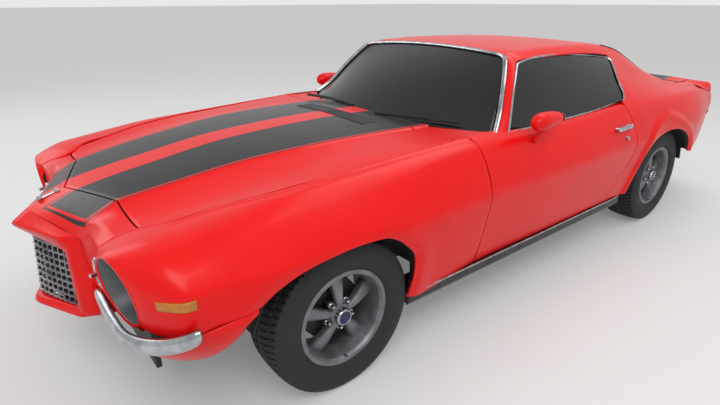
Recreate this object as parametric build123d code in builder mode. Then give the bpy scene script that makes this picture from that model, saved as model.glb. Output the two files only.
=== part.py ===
"""A two-door coupe with a long hood, split front bumpers and a three-piece tail spoiler.

Millimetres. The nose points along -Y, the driver's left is +X and +Z is up. The
origin is on the ground under the middle of the car's outer box.
"""

import os
from collections import namedtuple
from math import cos, radians, sin

from build123d import *

# Wheels and axles
WHEELBASE = 2743
FRONT_AXLE_Y = -1441
REAR_AXLE_Y = FRONT_AXLE_Y + WHEELBASE
WHEEL_PLANE_X = 772
TYRE_RADIUS = 330
TYRE_WIDTH = 226
TYRE_BEAD_RADIUS = 196
RIM_WIDTH = 196
RIM_WALL = 7
HUB_RADIUS = 46
SPOKES = 5
AXLE_Z = TYRE_RADIUS

# Body
HALF_WIDTH = 945
SKIN = 12
QUARTER_WALL = 34
PANEL_GAP = 6
SEAT_GAP = 0.3
HOOD_WALL = 24
ROOF_WALL = 22
GLASS = 6
DOOR_FRONT_Y = FRONT_AXLE_Y + 790
DOOR_REAR_Y = REAR_AXLE_Y - 554
FACE_Y = FRONT_AXLE_Y - 751
TAIL_Y = REAR_AXLE_Y + 1040
HOOD_REAR_Y = FRONT_AXLE_Y + 722
LID_FRONT_Y = REAR_AXLE_Y + 366
LID_REAR_Y = REAR_AXLE_Y + 1034
BACKLIGHT_BASE_Y = REAR_AXLE_Y + 300
FLOOR_Z = 250
TRUNK_FLOOR_Z = 470

# Steering axis of each front wheel
KINGPIN_X = 690

# Each row is a station along the side of the car, with y measured from the front
# axle (F) or the rear axle (R). Across, sizes are insets from the half width: the
# sill or lower edge, the side crease, the shoulder and the inner top edge.
Side = namedtuple("Side", "y sill_in sill_z crease_in crease_z shoulder_in shoulder_z edge_in edge_z")
F, R = FRONT_AXLE_Y, REAR_AXLE_Y
SIDE = [
    Side(F - 751, 128, 520, 104, 697, 148, 768, 345, 786),
    Side(F - 695, 76, 530, 58, 697, 130, 784, 336, 794),
    Side(F - 620, 38, 546, 24, 697, 124, 800, 326, 800),
    Side(F - 400, 10, 576, 5, 690, 124, 829, 288, 836),
    Side(F - 250, 4, 560, 1, 684, 126, 842, 250, 856),
    Side(F, 2, 500, 0, 678, 124, 850, 218, 876),
    Side(F + 320, 60, 310, 6, 671, 118, 857, 212, 894),
    Side(F + 790, 86, 310, 17, 664, 104, 868, 196, 912),
    Side(R - 1300, 83, 310, 15, 663, 102, 866, 157, 889),
    Side(R - 900, 81, 310, 14, 665, 102, 870, 157, 895),
    Side(R - 554, 79, 310, 15, 666, 98, 882, 159, 912),
    Side(R - 340, 77, 310, 13, 664, 94, 884, 330, 900),
    Side(R, 6, 500, 5, 688, 90, 884, 330, 900),
    Side(R + 300, 12, 470, 8, 690, 94, 882, 330, 898),
    Side(R + 600, 60, 440, 30, 672, 106, 874, 345, 890),
    Side(R + 860, 90, 440, 62, 650, 126, 860, 339, 872),
    Side(R + 1040, 120, 450, 96, 636, 150, 842, 337, 856),
]

# Rows along the roof: centre height, ridge and drip rail on each side.
Roof = namedtuple("Roof", "y centre_z ridge_x ridge_z rail_x rail_z")
ROOF = [
    Roof(F + 1318, 1247, 536, 1229, 608, 1198),
    Roof(F + 1540, 1262, 548, 1243, 620, 1204),
    Roof(R - 900, 1265, 548, 1245, 618, 1202),
    Roof(R - 600, 1256, 542, 1236, 612, 1190),
    Roof(R - 420, 1240, 530, 1222, 600, 1168),
]

# Rows down the sail of each rear quarter: the ridge beside the rear window, and the
# neck below it as an inset from the half width.
Sail = namedtuple("Sail", "y ridge_x ridge_z neck_in neck_z")
SAIL = [
    Sail(R - 420, 530, 1222, 305, 1100),
    Sail(R - 220, 524, 1185, 305, 1050),
    Sail(R + 50, 520, 1090, 295, 985),
    Sail(R + 300, 520, 1000, 281, 930),
    Sail(R + 480, 556, 925, 255, 905),
    Sail(R + 600, 602, 893, 233, 888),
]

# Rows along the belt line of the doors, and along the trunk lid.
Belt = namedtuple("Belt", "y z")
BELT = [Belt(F + 790, 893), Belt(R - 1300, 889), Belt(R - 900, 895), Belt(R - 554, 912)]
Lid = namedtuple("Lid", "y side_x side_z centre_z")
LID = [
    Lid(R + 366, 520, 896, 903),
    Lid(R + 480, 548, 897, 904),
    Lid(R + 600, 594, 890, 899),
    Lid(R + 860, 600, 873, 884),
    Lid(R + 1034, 600, 857, 867),
]

# Rows along the hood: centre height, step edge and outer gap edge.
Hood = namedtuple("Hood", "y centre_z step_x step_z")
HOOD = [
    Hood(F - 628, 828, 336, 822),
    Hood(F - 400, 862, 364, 856),
    Hood(F - 130, 897, 388, 890),
    Hood(F + 70, 917, 417, 908),
    Hood(F + 430, 926, 440, 915),
    Hood(F + 722, 922, 460, 912),
]


def between(table, y):
    """The table's row at y, on the straight line between its neighbours."""
    after = next((i for i, row in enumerate(table) if row.y >= y), len(table) - 1)
    low, high = table[max(after, 1) - 1], table[max(after, 1)]
    share = (y - low.y) / (high.y - low.y)
    return type(low)(*(a + (b - a) * share for a, b in zip(low, high)))


def stations(table, start, end):
    """Both ends and every table row between them."""
    inner = [row.y for row in table if start + 1 < row.y < end - 1]
    return [start, *inner, end]


def across(y):
    """Upright plane across the car: sketch x is the car's left, sketch y is up."""
    return Plane(origin=(0, y, 0), x_dir=(1, 0, 0), z_dir=(0, -1, 0))


def along(x):
    """Upright plane along the car: sketch x runs to the tail, sketch y is up."""
    return Plane(origin=(x, 0, 0), x_dir=(0, 1, 0), z_dir=(1, 0, 0))


def bulge(a, b, height):
    """The middle of the arc from a to b that stands height to the right of the chord."""
    dx, dy = b[0] - a[0], b[1] - a[1]
    length = (dx * dx + dy * dy) ** 0.5
    return ((a[0] + b[0]) / 2 + dy / length * height, (a[1] + b[1]) / 2 - dx / length * height)


def outer_line(points, heights):
    """Arcs through the outer points, each with its own bulge, inside a BuildLine."""
    for a, b, height in zip(points, points[1:], heights):
        if height:
            ThreePointArc(a, bulge(a, b, height), b)
        else:
            Line(a, b)


def side_points(y):
    """Sill, crease, shoulder and inner top edge of the left side at y."""
    row = between(SIDE, y)
    return [
        (HALF_WIDTH - row.sill_in, row.sill_z),
        (HALF_WIDTH - row.crease_in, row.crease_z),
        (HALF_WIDTH - row.shoulder_in, row.shoulder_z),
        (HALF_WIDTH - row.edge_in, row.edge_z),
    ]


def finish(part, name):
    """Label a finished piece and write it."""
    part.label = name
    export_step(part, f"parts/{name}.step")
    print(name, round(part.volume))


os.makedirs("parts", exist_ok=True)
SIDE_BULGES = (3, 14, 9)


# Front fenders: side skin over the wheel, with the headlamp pod at the front
LAMP_X = 676
LAMP_Z = 645
LAMP_BORE = 118
POD_INNER_X = 552
POD_DEPTH = 14
ARCH_FRONT = (
    (-446, 290), (-391, 580), (-199, 660), (-13, 676),
    (151, 662), (261, 590), (318, 525), (335, 440), (318, 290),
)

with BuildPart() as front_fender_left:
    for y in stations(SIDE, FACE_Y, DOOR_FRONT_Y - PANEL_GAP):
        sill, crease, shoulder, edge = side_points(y)
        with BuildSketch(across(y)):
            with BuildLine():
                outer_line((sill, crease, shoulder, edge), SIDE_BULGES)
                Polyline(
                    edge,
                    (edge[0], edge[1] - SKIN),
                    (shoulder[0] - SKIN, shoulder[1] - SKIN),
                    (crease[0] - SKIN, crease[1]),
                    (sill[0] - SKIN, sill[1]),
                    sill,
                )
            make_face()
    loft(ruled=True)
    with BuildSketch(across(FACE_Y)):
        sill, crease, shoulder, edge = side_points(FACE_Y)
        with BuildLine():
            outer_line((sill, crease, shoulder, edge), SIDE_BULGES)
            Polyline(edge, (POD_INNER_X, edge[1] - SKIN), (POD_INNER_X, sill[1]), sill)
        make_face()
        with Locations((LAMP_X, LAMP_Z)):
            Circle(LAMP_BORE, mode=Mode.SUBTRACT)
    extrude(amount=POD_DEPTH)
    with BuildSketch(along(HALF_WIDTH + 60)):
        with BuildLine():
            points = [(FRONT_AXLE_Y + dy, z) for dy, z in ARCH_FRONT]
            Line(points[0], points[1])
            ThreePointArc(points[1], points[2], points[3])
            ThreePointArc(points[3], points[4], points[5])
            ThreePointArc(points[5], points[6], points[7])
            Polyline(points[7], points[8], points[0])
        make_face()
    extrude(amount=-420, mode=Mode.SUBTRACT)
finish(front_fender_left.part, "front_fender_left")

with BuildPart() as front_fender_right:
    mirror(front_fender_left.part, about=Plane.YZ)
finish(front_fender_right.part, "front_fender_right")


# Inner fenders: a vault over each front wheel, with a wall and a flange to the fender
VAULT_RADIUS = 400
VAULT_INNER_X = 455
VAULT_OUTER_X = 868
VAULT_WALL = 6
VAULT_FOOT_Z = 300

with BuildPart() as vault_left:
    with BuildSketch(along(VAULT_INNER_X)):
        with Locations((FRONT_AXLE_Y, AXLE_Z)):
            Circle(VAULT_RADIUS + VAULT_WALL)
            Circle(VAULT_RADIUS, mode=Mode.SUBTRACT)
            with Locations((0, -VAULT_RADIUS / 2 - 20)):
                Rectangle(3 * VAULT_RADIUS, VAULT_RADIUS + 240, mode=Mode.SUBTRACT)
    extrude(amount=VAULT_OUTER_X - VAULT_INNER_X)
    with BuildSketch(along(VAULT_INNER_X)):
        with BuildLine():
            Polyline(
                (F - VAULT_RADIUS - 6, VAULT_FOOT_Z), (F - VAULT_RADIUS - 6, 790), (F + VAULT_RADIUS + 6, 830),
                (F + VAULT_RADIUS + 6, VAULT_FOOT_Z), (F + 170, VAULT_FOOT_Z), (F + 170, 560), (F - 170, 560),
                (F - 170, VAULT_FOOT_Z),
                close=True,
            )
        make_face()
    extrude(amount=VAULT_WALL)
    for y in stations(SIDE, F - 406, F + 406):
        _, _, shoulder, edge = side_points(y)
        fall = (shoulder[1] - edge[1]) / (shoulder[0] - SKIN - edge[0])
        under = edge[1] - SKIN - SEAT_GAP
        foot_z = 790 + (y - F + 406) / 812 * 40
        with BuildSketch(across(y)):
            with BuildLine():
                Polyline(
                    (VAULT_INNER_X, foot_z),
                    (edge[0] + 2, edge[1] - 44),
                    (edge[0] + 2, under + 2 * fall),
                    (edge[0] + 10, under + 10 * fall),
                    (edge[0] + 10, edge[1] - 44 - VAULT_WALL),
                    (VAULT_INNER_X, foot_z - VAULT_WALL),
                    close=True,
                )
            make_face()
    loft(ruled=True)
with BuildPart() as inner_fenders:
    add(vault_left.part)
    mirror(vault_left.part, about=Plane.YZ)
finish(inner_fenders.part, "inner_fenders")


# Hood: raised centre, V front edge over the grille
HOOD_CORNER_X = 341
HOOD_APEX_Y = F - 744
HOOD_CORNER_Y = F - 628
HOOD_SIDE_Y = F - 619
HOOD_BULGES = (4, 3, 3, 4)


def hood_front(gap):
    """Front edge of the hood from right to left, moved forward by gap."""
    return [
        (-760, HOOD_SIDE_Y - gap), (-HOOD_CORNER_X, HOOD_CORNER_Y - gap), (0, HOOD_APEX_Y - gap),
        (HOOD_CORNER_X, HOOD_CORNER_Y - gap), (760, HOOD_SIDE_Y - gap),
    ]


with BuildPart() as hood:
    for y in stations(HOOD, HOOD_APEX_Y, HOOD_REAR_Y):
        row = between(HOOD, y)
        edge = side_points(y)[3]
        half = edge[0] - PANEL_GAP
        with BuildSketch(across(y)):
            with BuildLine():
                top = [
                    (half, edge[1]), (row.step_x, row.step_z), (0, row.centre_z),
                    (-row.step_x, row.step_z), (-half, edge[1]),
                ]
                outer_line(top, HOOD_BULGES)
                Polyline(top[4], *[(x, z - HOOD_WALL) for x, z in reversed(top)], top[0])
            make_face()
    loft(ruled=True)
    with BuildSketch(Plane.XY.offset(700)):
        with BuildLine():
            Polyline(*hood_front(0), (760, F - 900), (-760, F - 900), close=True)
        make_face()
    extrude(amount=300, mode=Mode.SUBTRACT)
finish(hood.part, "hood")


# Nose panel: pointed header over the grille, fascia beside it and a frame round the opening
SHELL_X = 300
OPENING_X = 240
OPENING_TOP_Z = 640
OPENING_LOW_Z = 396
SHELL_LOW_Z = 362
NOSE_WALL = 12
PARK_X = 480
PARK_Z = 637
PARK_RADIUS = 57
# Columns: x, hood edge y and z, brow y and z, lip y and z, lower y and z
Nose = namedtuple("Nose", "x edge_y edge_z brow_y brow_z lip_y lip_z low_y low_z")
NOSE = [
    Nose(0, F - 753, 808, F - 860, 772, F - 946, 708, F - 908, 656),
    Nose(240, F - 673, 815, F - 770, 778, F - 836, 708, F - 826, 640),
    Nose(300, F - 652, 818, F - 715, 788, F - 776, 706, F - 770, 640),
    Nose(400, F - 637, 812, F - 700, 790, F - 755, 730, F - 752, 560),
    Nose(POD_INNER_X - SEAT_GAP, F - 634, 800, F - 690, 782, F - 751, 762, F - 751, 560),
]

with BuildPart() as nose_panel:
    for row in [row._replace(x=-row.x) for row in NOSE[:0:-1]] + NOSE:
        with BuildSketch(along(row.x)):
            with BuildLine():
                Polyline(
                    (row.edge_y, row.edge_z),
                    (row.brow_y, row.brow_z),
                    (row.lip_y, row.lip_z),
                    (row.low_y, row.low_z),
                    (row.low_y + NOSE_WALL, row.low_z),
                    (row.lip_y + NOSE_WALL, row.lip_z - 4),
                    (row.brow_y + NOSE_WALL / 2, row.brow_z - NOSE_WALL),
                    (row.edge_y, row.edge_z - NOSE_WALL),
                    close=True,
                )
            make_face()
    loft(ruled=True)
    for side in (1, -1):
        for x, lift in ((POD_INNER_X - SEAT_GAP, 0), (HALF_WIDTH - SIDE[0].edge_in - SEAT_GAP, 12)):
            with BuildSketch(along(side * x)):
                with BuildLine():
                    Polyline(
                        (F - 634, 800), (F - 690, 782 + lift), (F - 750, 765 + lift * 1.5),
                        (F - 750, 753 + lift * 1.5), (F - 690, 770 + lift), (F - 634, 788), close=True,
                    )
                make_face()
        loft(ruled=True)
    with BuildSketch(Plane.XY.offset(SHELL_LOW_Z)) as frame_low:
        with BuildLine():
            Polyline(
                (-SHELL_X, F - 776), (-OPENING_X, F - 836), (0, F - 944), (OPENING_X, F - 836),
                (SHELL_X, F - 776), (SHELL_X, F - 752), (OPENING_X, F - 800), (0, F - 900),
                (-OPENING_X, F - 800), (-SHELL_X, F - 752), close=True,
            )
        make_face()
    extrude(amount=OPENING_LOW_Z - SHELL_LOW_Z)
    for side in (1, -1):
        with BuildSketch(Plane.XY.offset(SHELL_LOW_Z)):
            with BuildLine():
                Polyline(
                    (side * OPENING_X, F - 836), (side * SHELL_X, F - 776), (side * SHELL_X, F - 752),
                    (side * OPENING_X, F - 812), close=True,
                )
            make_face()
        extrude(amount=OPENING_TOP_Z + 10 - SHELL_LOW_Z)
    with BuildSketch(across(F - 730)):
        with Locations((PARK_X, PARK_Z), (-PARK_X, PARK_Z)):
            Circle(PARK_RADIUS)
    extrude(amount=50, mode=Mode.SUBTRACT)
finish(nose_panel.part, "nose_panel")


# Grille: an egg-crate mesh in each half of the opening
MESH_DEPTH = 12
MESH_BAR = 4
MESH_COLUMNS = 9
MESH_ROWS = 9
MESH_SWEEP_Y = 108
with BuildPart() as mesh_left:
    run = (OPENING_X**2 + MESH_SWEEP_Y**2) ** 0.5
    width = run - 8
    height = OPENING_TOP_Z - OPENING_LOW_Z - 2 * SEAT_GAP
    mesh_plane = Plane(
        origin=(OPENING_X / 2, F - 876, (OPENING_TOP_Z + OPENING_LOW_Z) / 2),
        x_dir=(OPENING_X, MESH_SWEEP_Y, 0),
        z_dir=(MESH_SWEEP_Y, -OPENING_X, 0),
    )
    with BuildSketch(mesh_plane):
        Rectangle(width, height)
        with GridLocations(width / MESH_COLUMNS, height / MESH_ROWS, MESH_COLUMNS, MESH_ROWS):
            Rectangle(width / MESH_COLUMNS - MESH_BAR, height / MESH_ROWS - MESH_BAR, mode=Mode.SUBTRACT)
    extrude(amount=-MESH_DEPTH)
with BuildPart() as grille:
    add(mesh_left.part)
    mirror(mesh_left.part, about=Plane.YZ)
finish(grille.part, "grille")


# Front valance: a wall that wraps round under the bumpers to both wheel arches
VALANCE_WALL = 10
VALANCE_TOP_Z = 518
VALANCE_LOW_Z = 376
VALANCE_END = (SHELL_X + 2, F - 752 + SEAT_GAP)
VALANCE_TOP = ((934, F - 402), (903, F - 600), (820, F - 700), (700, F - 738), (400, F - 746), VALANCE_END)
VALANCE_LOW = ((876, F - 404), (850, F - 560), (770, F - 650), (620, F - 700), (400, F - 742), VALANCE_END)


def valance_ring(points, z):
    """The valance's plan outline at height z, with its wall on the inside."""
    left = [(x, y) for x, y in points]
    inner = [(x - VALANCE_WALL, y + VALANCE_WALL * 0.9) for x, y in points]
    mirrored = [(-x, y) for x, y in reversed(left)]
    mirrored_inner = [(-x, y) for x, y in reversed(inner)]
    with BuildSketch(Plane.XY.offset(z)) as ring:
        with BuildLine():
            Polyline(*left, *mirrored, *reversed(mirrored_inner), *reversed(inner), close=True)
        make_face()
    return ring.sketch


valance_sections = [valance_ring(VALANCE_LOW, VALANCE_LOW_Z), valance_ring(VALANCE_TOP, VALANCE_TOP_Z)]
with BuildPart() as front_valance:
    loft(valance_sections, ruled=True)
finish(front_valance.part, "front_valance")


# Bumpers: a flattened bar under each headlamp, and one full-width bar behind
BUMPER_LOW_Z = 500
BUMPER_HIGH_Z = 574
BUMPER_DEPTH = 22
BUMPER_FACE_Y = FACE_Y - POD_DEPTH - SEAT_GAP
REAR_BUMPER_Y = REAR_AXLE_Y + 1054 + SEAT_GAP
REAR_BUMPER_DEPTH = 31
REAR_BUMPER_LOW_Z = 462
REAR_BUMPER_HIGH_Z = 566

with BuildPart() as front_bumper_left:
    with BuildSketch(Plane.XY.offset(BUMPER_LOW_Z)):
        with BuildLine():
            Polyline(
                (430, BUMPER_FACE_Y), (834, BUMPER_FACE_Y), (882, F - 695), (916, F - 620), (928, F - 585),
                (943, F - 588), (934, F - 630), (900, F - 706), (846, BUMPER_FACE_Y - 16),
                (800, BUMPER_FACE_Y - BUMPER_DEPTH), (430, BUMPER_FACE_Y - BUMPER_DEPTH), close=True,
            )
        make_face()
    extrude(amount=BUMPER_HIGH_Z - BUMPER_LOW_Z)
with BuildPart() as bumpers:
    add(front_bumper_left.part)
    mirror(front_bumper_left.part, about=Plane.YZ)
    with BuildSketch(Plane.XY.offset(REAR_BUMPER_LOW_Z)):
        with BuildLine():
            Polyline(
                (-870, REAR_BUMPER_Y - 90), (-850, REAR_BUMPER_Y), (850, REAR_BUMPER_Y), (870, REAR_BUMPER_Y - 90),
                (890, REAR_BUMPER_Y - 88), (868, REAR_BUMPER_Y + 18), (600, REAR_BUMPER_Y + REAR_BUMPER_DEPTH),
                (-600, REAR_BUMPER_Y + REAR_BUMPER_DEPTH), (-868, REAR_BUMPER_Y + 18),
                (-890, REAR_BUMPER_Y - 88), close=True,
            )
        make_face()
    extrude(amount=REAR_BUMPER_HIGH_Z - REAR_BUMPER_LOW_Z)
finish(bumpers.part, "bumpers")


# Rear quarters: lower side over the rear wheel, with the sail that carries the roof
ARCH_REAR = (
    (-405, 290), (-372, 470), (-330, 575), (-262, 650), (-64, 686),
    (138, 648), (262, 575), (342, 430), (360, 290),
)
SAIL_WALL = 30
PILLAR_NECK_IN = 269
STRIKER_IN = 22
STRIKER_RADIUS = 7
STRIKER_REACH = 20
STRIKER_SLOT_DEPTH = 54
SAIL_GLASS_GAP = 12
SAIL_FRONT = ((R - 602, 906), (R - 575, 940), (R - 444, 1151), (R - 440, 1240))

GLASS_HIGH_Z = 1200
GLASS_LOW_Z = 908


def recess_z(y):
    """Height of the rear window's edge, then of the deck behind it, at y."""
    share = min(max((y - ROOF[-1].y) / (BACKLIGHT_BASE_Y - ROOF[-1].y), 0), 1)
    return GLASS_HIGH_Z + (GLASS_LOW_Z - GLASS_HIGH_Z) * share - (12 if share == 1 else 0)


with BuildPart() as quarter_left:
    for y in stations(SIDE, DOOR_REAR_Y + PANEL_GAP, TAIL_Y):
        sill, crease, shoulder, edge = side_points(y)
        with BuildSketch(across(y)):
            with BuildLine():
                outer_line((sill, crease, shoulder, edge), SIDE_BULGES)
                Polyline(
                    edge,
                    (edge[0], edge[1] - SKIN),
                    (shoulder[0] - QUARTER_WALL, shoulder[1] - QUARTER_WALL),
                    (crease[0] - QUARTER_WALL, crease[1]),
                    (sill[0] - QUARTER_WALL, sill[1]),
                    sill,
                )
            make_face()
    loft(ruled=True)
    front_y = DOOR_REAR_Y + PANEL_GAP
    for ys in ([front_y, R - 424], [R - 420, R - 220, R + 50, R + 300, R + 480, R + 600]):
        for y in ys:
            shoulder = side_points(y)[2]
            row = between(SAIL, y)
            roof = between(ROOF, y)
            ridge = (row.ridge_x, row.ridge_z) if y >= SAIL[0].y else (roof.rail_x, roof.rail_z - 8)
            neck = (HALF_WIDTH - row.neck_in, row.neck_z) if y >= SAIL[0].y else (HALF_WIDTH - PILLAR_NECK_IN, 1042)
            foot = (shoulder[0] - 1, shoulder[1] - 1)
            with BuildSketch(across(y)):
                with BuildLine():
                    outer_line((foot, neck, ridge), (-14, 10))
                    Polyline(
                        ridge,
                        (ridge[0] - 6, min(ridge[1] - SAIL_WALL, recess_z(y) - SAIL_WALL / 2)),
                        (neck[0] - SAIL_WALL, neck[1] - SAIL_WALL * 0.8),
                        (foot[0] - SAIL_WALL, foot[1] - SAIL_WALL * 0.8),
                        foot,
                    )
                make_face()
        loft(ruled=True)
    crease = side_points(front_y)[1]
    with BuildSketch(across(front_y + 1)):
        with Locations((crease[0] - STRIKER_IN, crease[1])):
            Circle(STRIKER_RADIUS)
    extrude(amount=PANEL_GAP + 1 + STRIKER_REACH)
    with BuildSketch(along(500)):
        with BuildLine():
            Polyline(*[(y + SAIL_GLASS_GAP, z) for y, z in SAIL_FRONT], (R - 700, 1240), (R - 700, 906), close=True)
        make_face()
    extrude(amount=350, mode=Mode.SUBTRACT)
    with BuildSketch(along(HALF_WIDTH + 60)):
        with BuildLine():
            points = [(REAR_AXLE_Y + dy, z) for dy, z in ARCH_REAR]
            Line(points[0], points[1])
            ThreePointArc(points[1], points[2], points[3])
            ThreePointArc(points[3], points[4], points[5])
            ThreePointArc(points[5], points[6], points[7])
            Polyline(points[7], points[8], points[0])
        make_face()
    extrude(amount=-320, mode=Mode.SUBTRACT)
finish(quarter_left.part, "quarter_left")

with BuildPart() as quarter_right:
    mirror(quarter_left.part, about=Plane.YZ)
finish(quarter_right.part, "quarter_right")


# Roof with its windshield pillars
PILLAR_LOW_Z = 898
PILLAR_HIGH_Z = 1206
PILLAR_FOOT = (758, F + 988)
PILLAR_HEAD = (568, F + 1289)
GLASS_TOP_Y = ROOF[0].y - 9
BASE_CORNER = (761, F + 980, 890)
BASE_CENTRE = (F + 751, 915)
TOP_CORNER = (554, GLASS_TOP_Y, 1222)
TOP_CENTRE = (GLASS_TOP_Y - 26, 1245)

with BuildPart() as roof_panel:
    for row in ROOF:
        top = [
            (row.rail_x, row.rail_z), (row.ridge_x, row.ridge_z), (0, row.centre_z),
            (-row.ridge_x, row.ridge_z), (-row.rail_x, row.rail_z),
        ]
        under = [
            (row.rail_x - 22, row.rail_z), (row.ridge_x, row.ridge_z - ROOF_WALL), (0, row.centre_z - ROOF_WALL),
            (-row.ridge_x, row.ridge_z - ROOF_WALL), (-row.rail_x + 22, row.rail_z),
        ]
        with BuildSketch(across(row.y)):
            with BuildLine():
                outer_line(top, (5, 4, 4, 5))
                Polyline(top[4], *reversed(under), top[0])
            make_face()
    loft(ruled=True)
    for side in (1, -1):
        for z, (x, y), widths in (
            (PILLAR_LOW_Z, PILLAR_FOOT, (16, 7, 41)),
            (PILLAR_HIGH_Z, PILLAR_HEAD, (30, 10, 52)),
        ):
            with BuildSketch(Plane.XY.offset(z)):
                with BuildLine():
                    wide, sweep_back, deep = widths
                    Polyline(
                        (side * x, y), (side * (x + wide), y + sweep_back),
                        (side * (x + wide), y + deep), (side * x, y + deep), close=True,
                    )
                make_face()
        loft(ruled=True)
        with BuildSketch(across(PILLAR_FOOT[1] + 58)):
            with BuildLine():
                Polyline(
                    (side * 700, 860), (side * 737, 860), (side * 737, PILLAR_LOW_Z - 1),
                    (side * 774, PILLAR_LOW_Z + 1), (side * 768, 918), (side * 715, 918), close=True,
                )
            make_face()
        extrude(amount=30)
finish(roof_panel.part, "roof_panel")


# Windshield and rear window
def crescent(centre_y, centre_z, corner, start, depth):
    """Curved strip across the car through the centre point and both corners."""
    rise = (corner[1] - centre_y, corner[2] - centre_z)
    sag = (rise[0] ** 2 + rise[1] ** 2) ** 0.5
    plane = Plane(origin=(0, centre_y, centre_z), x_dir=(1, 0, 0), z_dir=(0, -rise[1], rise[0]))
    half = corner[0]
    with BuildSketch(plane) as strip:
        with BuildLine():
            ThreePointArc((-half, sag + start), (0, start), (half, sag + start))
            Line((half, sag + start), (half, sag + start + depth))
            ThreePointArc((half, sag + start + depth), (0, start + depth), (-half, sag + start + depth))
            Line((-half, sag + start + depth), (-half, sag + start))
        make_face()
    return strip.sketch, plane


windshield_base = crescent(*BASE_CENTRE, BASE_CORNER, 0, GLASS)[0]
windshield_top = crescent(*TOP_CENTRE, TOP_CORNER, 0, GLASS)[0]
BACKLIGHT_TOP = (516, ROOF[-1].y + SEAT_GAP, GLASS_HIGH_Z, GLASS_HIGH_Z + 16)
BACKLIGHT_LOW = (512, BACKLIGHT_BASE_Y, GLASS_LOW_Z, GLASS_LOW_Z + 9)
with BuildPart() as windshield:
    loft([windshield_base, windshield_top], ruled=True)
with BuildPart() as rear_window:
    for half, y, side_z, centre_z in (BACKLIGHT_TOP, BACKLIGHT_LOW):
        with BuildSketch(across(y)):
            with BuildLine():
                ThreePointArc((-half, side_z), (0, centre_z), (half, side_z))
                Line((half, side_z), (half, side_z - GLASS))
                ThreePointArc((half, side_z - GLASS), (0, centre_z - GLASS), (-half, side_z - GLASS))
                Line((-half, side_z - GLASS), (-half, side_z))
            make_face()
    loft(ruled=True)
with BuildPart() as fixed_glass:
    add(windshield.part)
    add(rear_window.part)
finish(fixed_glass.part, "fixed_glass")


# Doors: full-depth shells under the belt line, with frameless glass
DOOR_INNER_X = 745
DOOR_BELT_X = 788
DOOR_TAPER = 24

with BuildPart() as door_left:
    for y in stations(SIDE, DOOR_FRONT_Y, DOOR_REAR_Y):
        sill, crease, shoulder, edge = side_points(y)
        belt = (DOOR_BELT_X, between(BELT, y).z)
        with BuildSketch(across(y)):
            with BuildLine():
                outer_line((sill, crease, shoulder, belt), SIDE_BULGES)
                Polyline(
                    belt, (belt[0] - 10, belt[1]), (DOOR_INNER_X, belt[1] - 22), (DOOR_INNER_X, sill[1] + 40),
                    (DOOR_INNER_X + 30, sill[1]), sill,
                )
            make_face()
    loft(ruled=True)
    with BuildSketch(Plane.XY.offset(290)):
        with BuildLine():
            Polyline(
                (HALF_WIDTH - 10, DOOR_REAR_Y), (DOOR_INNER_X - 10, DOOR_REAR_Y - DOOR_TAPER),
                (DOOR_INNER_X - 10, DOOR_REAR_Y + 40), (HALF_WIDTH - 10, DOOR_REAR_Y + 40), close=True,
            )
        make_face()
    extrude(amount=660, mode=Mode.SUBTRACT)
    crease = side_points(DOOR_REAR_Y + PANEL_GAP)[1]
    slot_half = STRIKER_RADIUS + SEAT_GAP
    with BuildSketch(Plane.XY.offset(crease[1] - slot_half)):
        with BuildLine():
            Polyline(
                (crease[0] - STRIKER_IN + slot_half, DOOR_REAR_Y + 1),
                (crease[0] - STRIKER_IN + slot_half, DOOR_REAR_Y - STRIKER_REACH - 4),
                (DOOR_INNER_X - 1, DOOR_REAR_Y - STRIKER_SLOT_DEPTH), (DOOR_INNER_X - 1, DOOR_REAR_Y + 1),
                close=True,
            )
        make_face()
    extrude(amount=2 * slot_half, mode=Mode.SUBTRACT)
finish(door_left.part, "door_left")

GLASS_LEAN = radians(30)
glass_origin_z = BELT[1].z
glass_plane = Plane(
    origin=(DOOR_BELT_X - 1, 0, glass_origin_z), x_dir=(0, 1, 0), z_dir=(cos(GLASS_LEAN), 0, sin(GLASS_LEAN))
)


def on_glass(y, z):
    """Side-view point as sketch coordinates on the leaning glass plane."""
    return (y, (z - glass_origin_z) / cos(GLASS_LEAN))


RAIL_GAP = 10
with BuildPart() as door_glass_left:
    with BuildSketch(glass_plane):
        with BuildLine():
            low = [on_glass(y, between(BELT, y).z + 2.8) for y in (R - 612, R - 900, R - 1300, F + 1066)]
            high = [on_glass(y, between(ROOF, y).rail_z - RAIL_GAP) for y in (F + 1318, F + 1540, R - 900, R - 640)]
            rear = [on_glass(R - 444, 1151), on_glass(R - 575, 940)]
            Polyline(*low, on_glass(F + 1119, 972), on_glass(F + 1177, 1058), *high, *rear, close=True)
        make_face()
    extrude(amount=-5)
finish(door_glass_left.part, "door_glass_left")

MIRROR_Y = F + 1228
MIRROR_Z = 953
with BuildPart() as mirror_left:
    with BuildSketch(across(MIRROR_Y - 143)):
        with Locations((906, MIRROR_Z + 14)):
            Ellipse(18, 14)
    with BuildSketch(across(MIRROR_Y - 60)):
        with Locations((906, MIRROR_Z + 4)):
            Ellipse(44, 38)
    with BuildSketch(across(MIRROR_Y + 100)):
        with Locations((904, MIRROR_Z)):
            Ellipse(62, 46)
    loft(ruled=True)
    with BuildSketch(across(MIRROR_Y + 10)):
        with BuildLine():
            Polyline((838, 873.8), (858, 868), (898, 925), (872, 930), close=True)
        make_face()
    extrude(amount=60)
finish(mirror_left.part, "mirror_left")

for piece, name in ((door_left, "door_right"), (door_glass_left, "door_glass_right"), (mirror_left, "mirror_right")):
    with BuildPart() as right:
        mirror(piece.part, about=Plane.YZ)
    finish(right.part, name)


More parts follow.
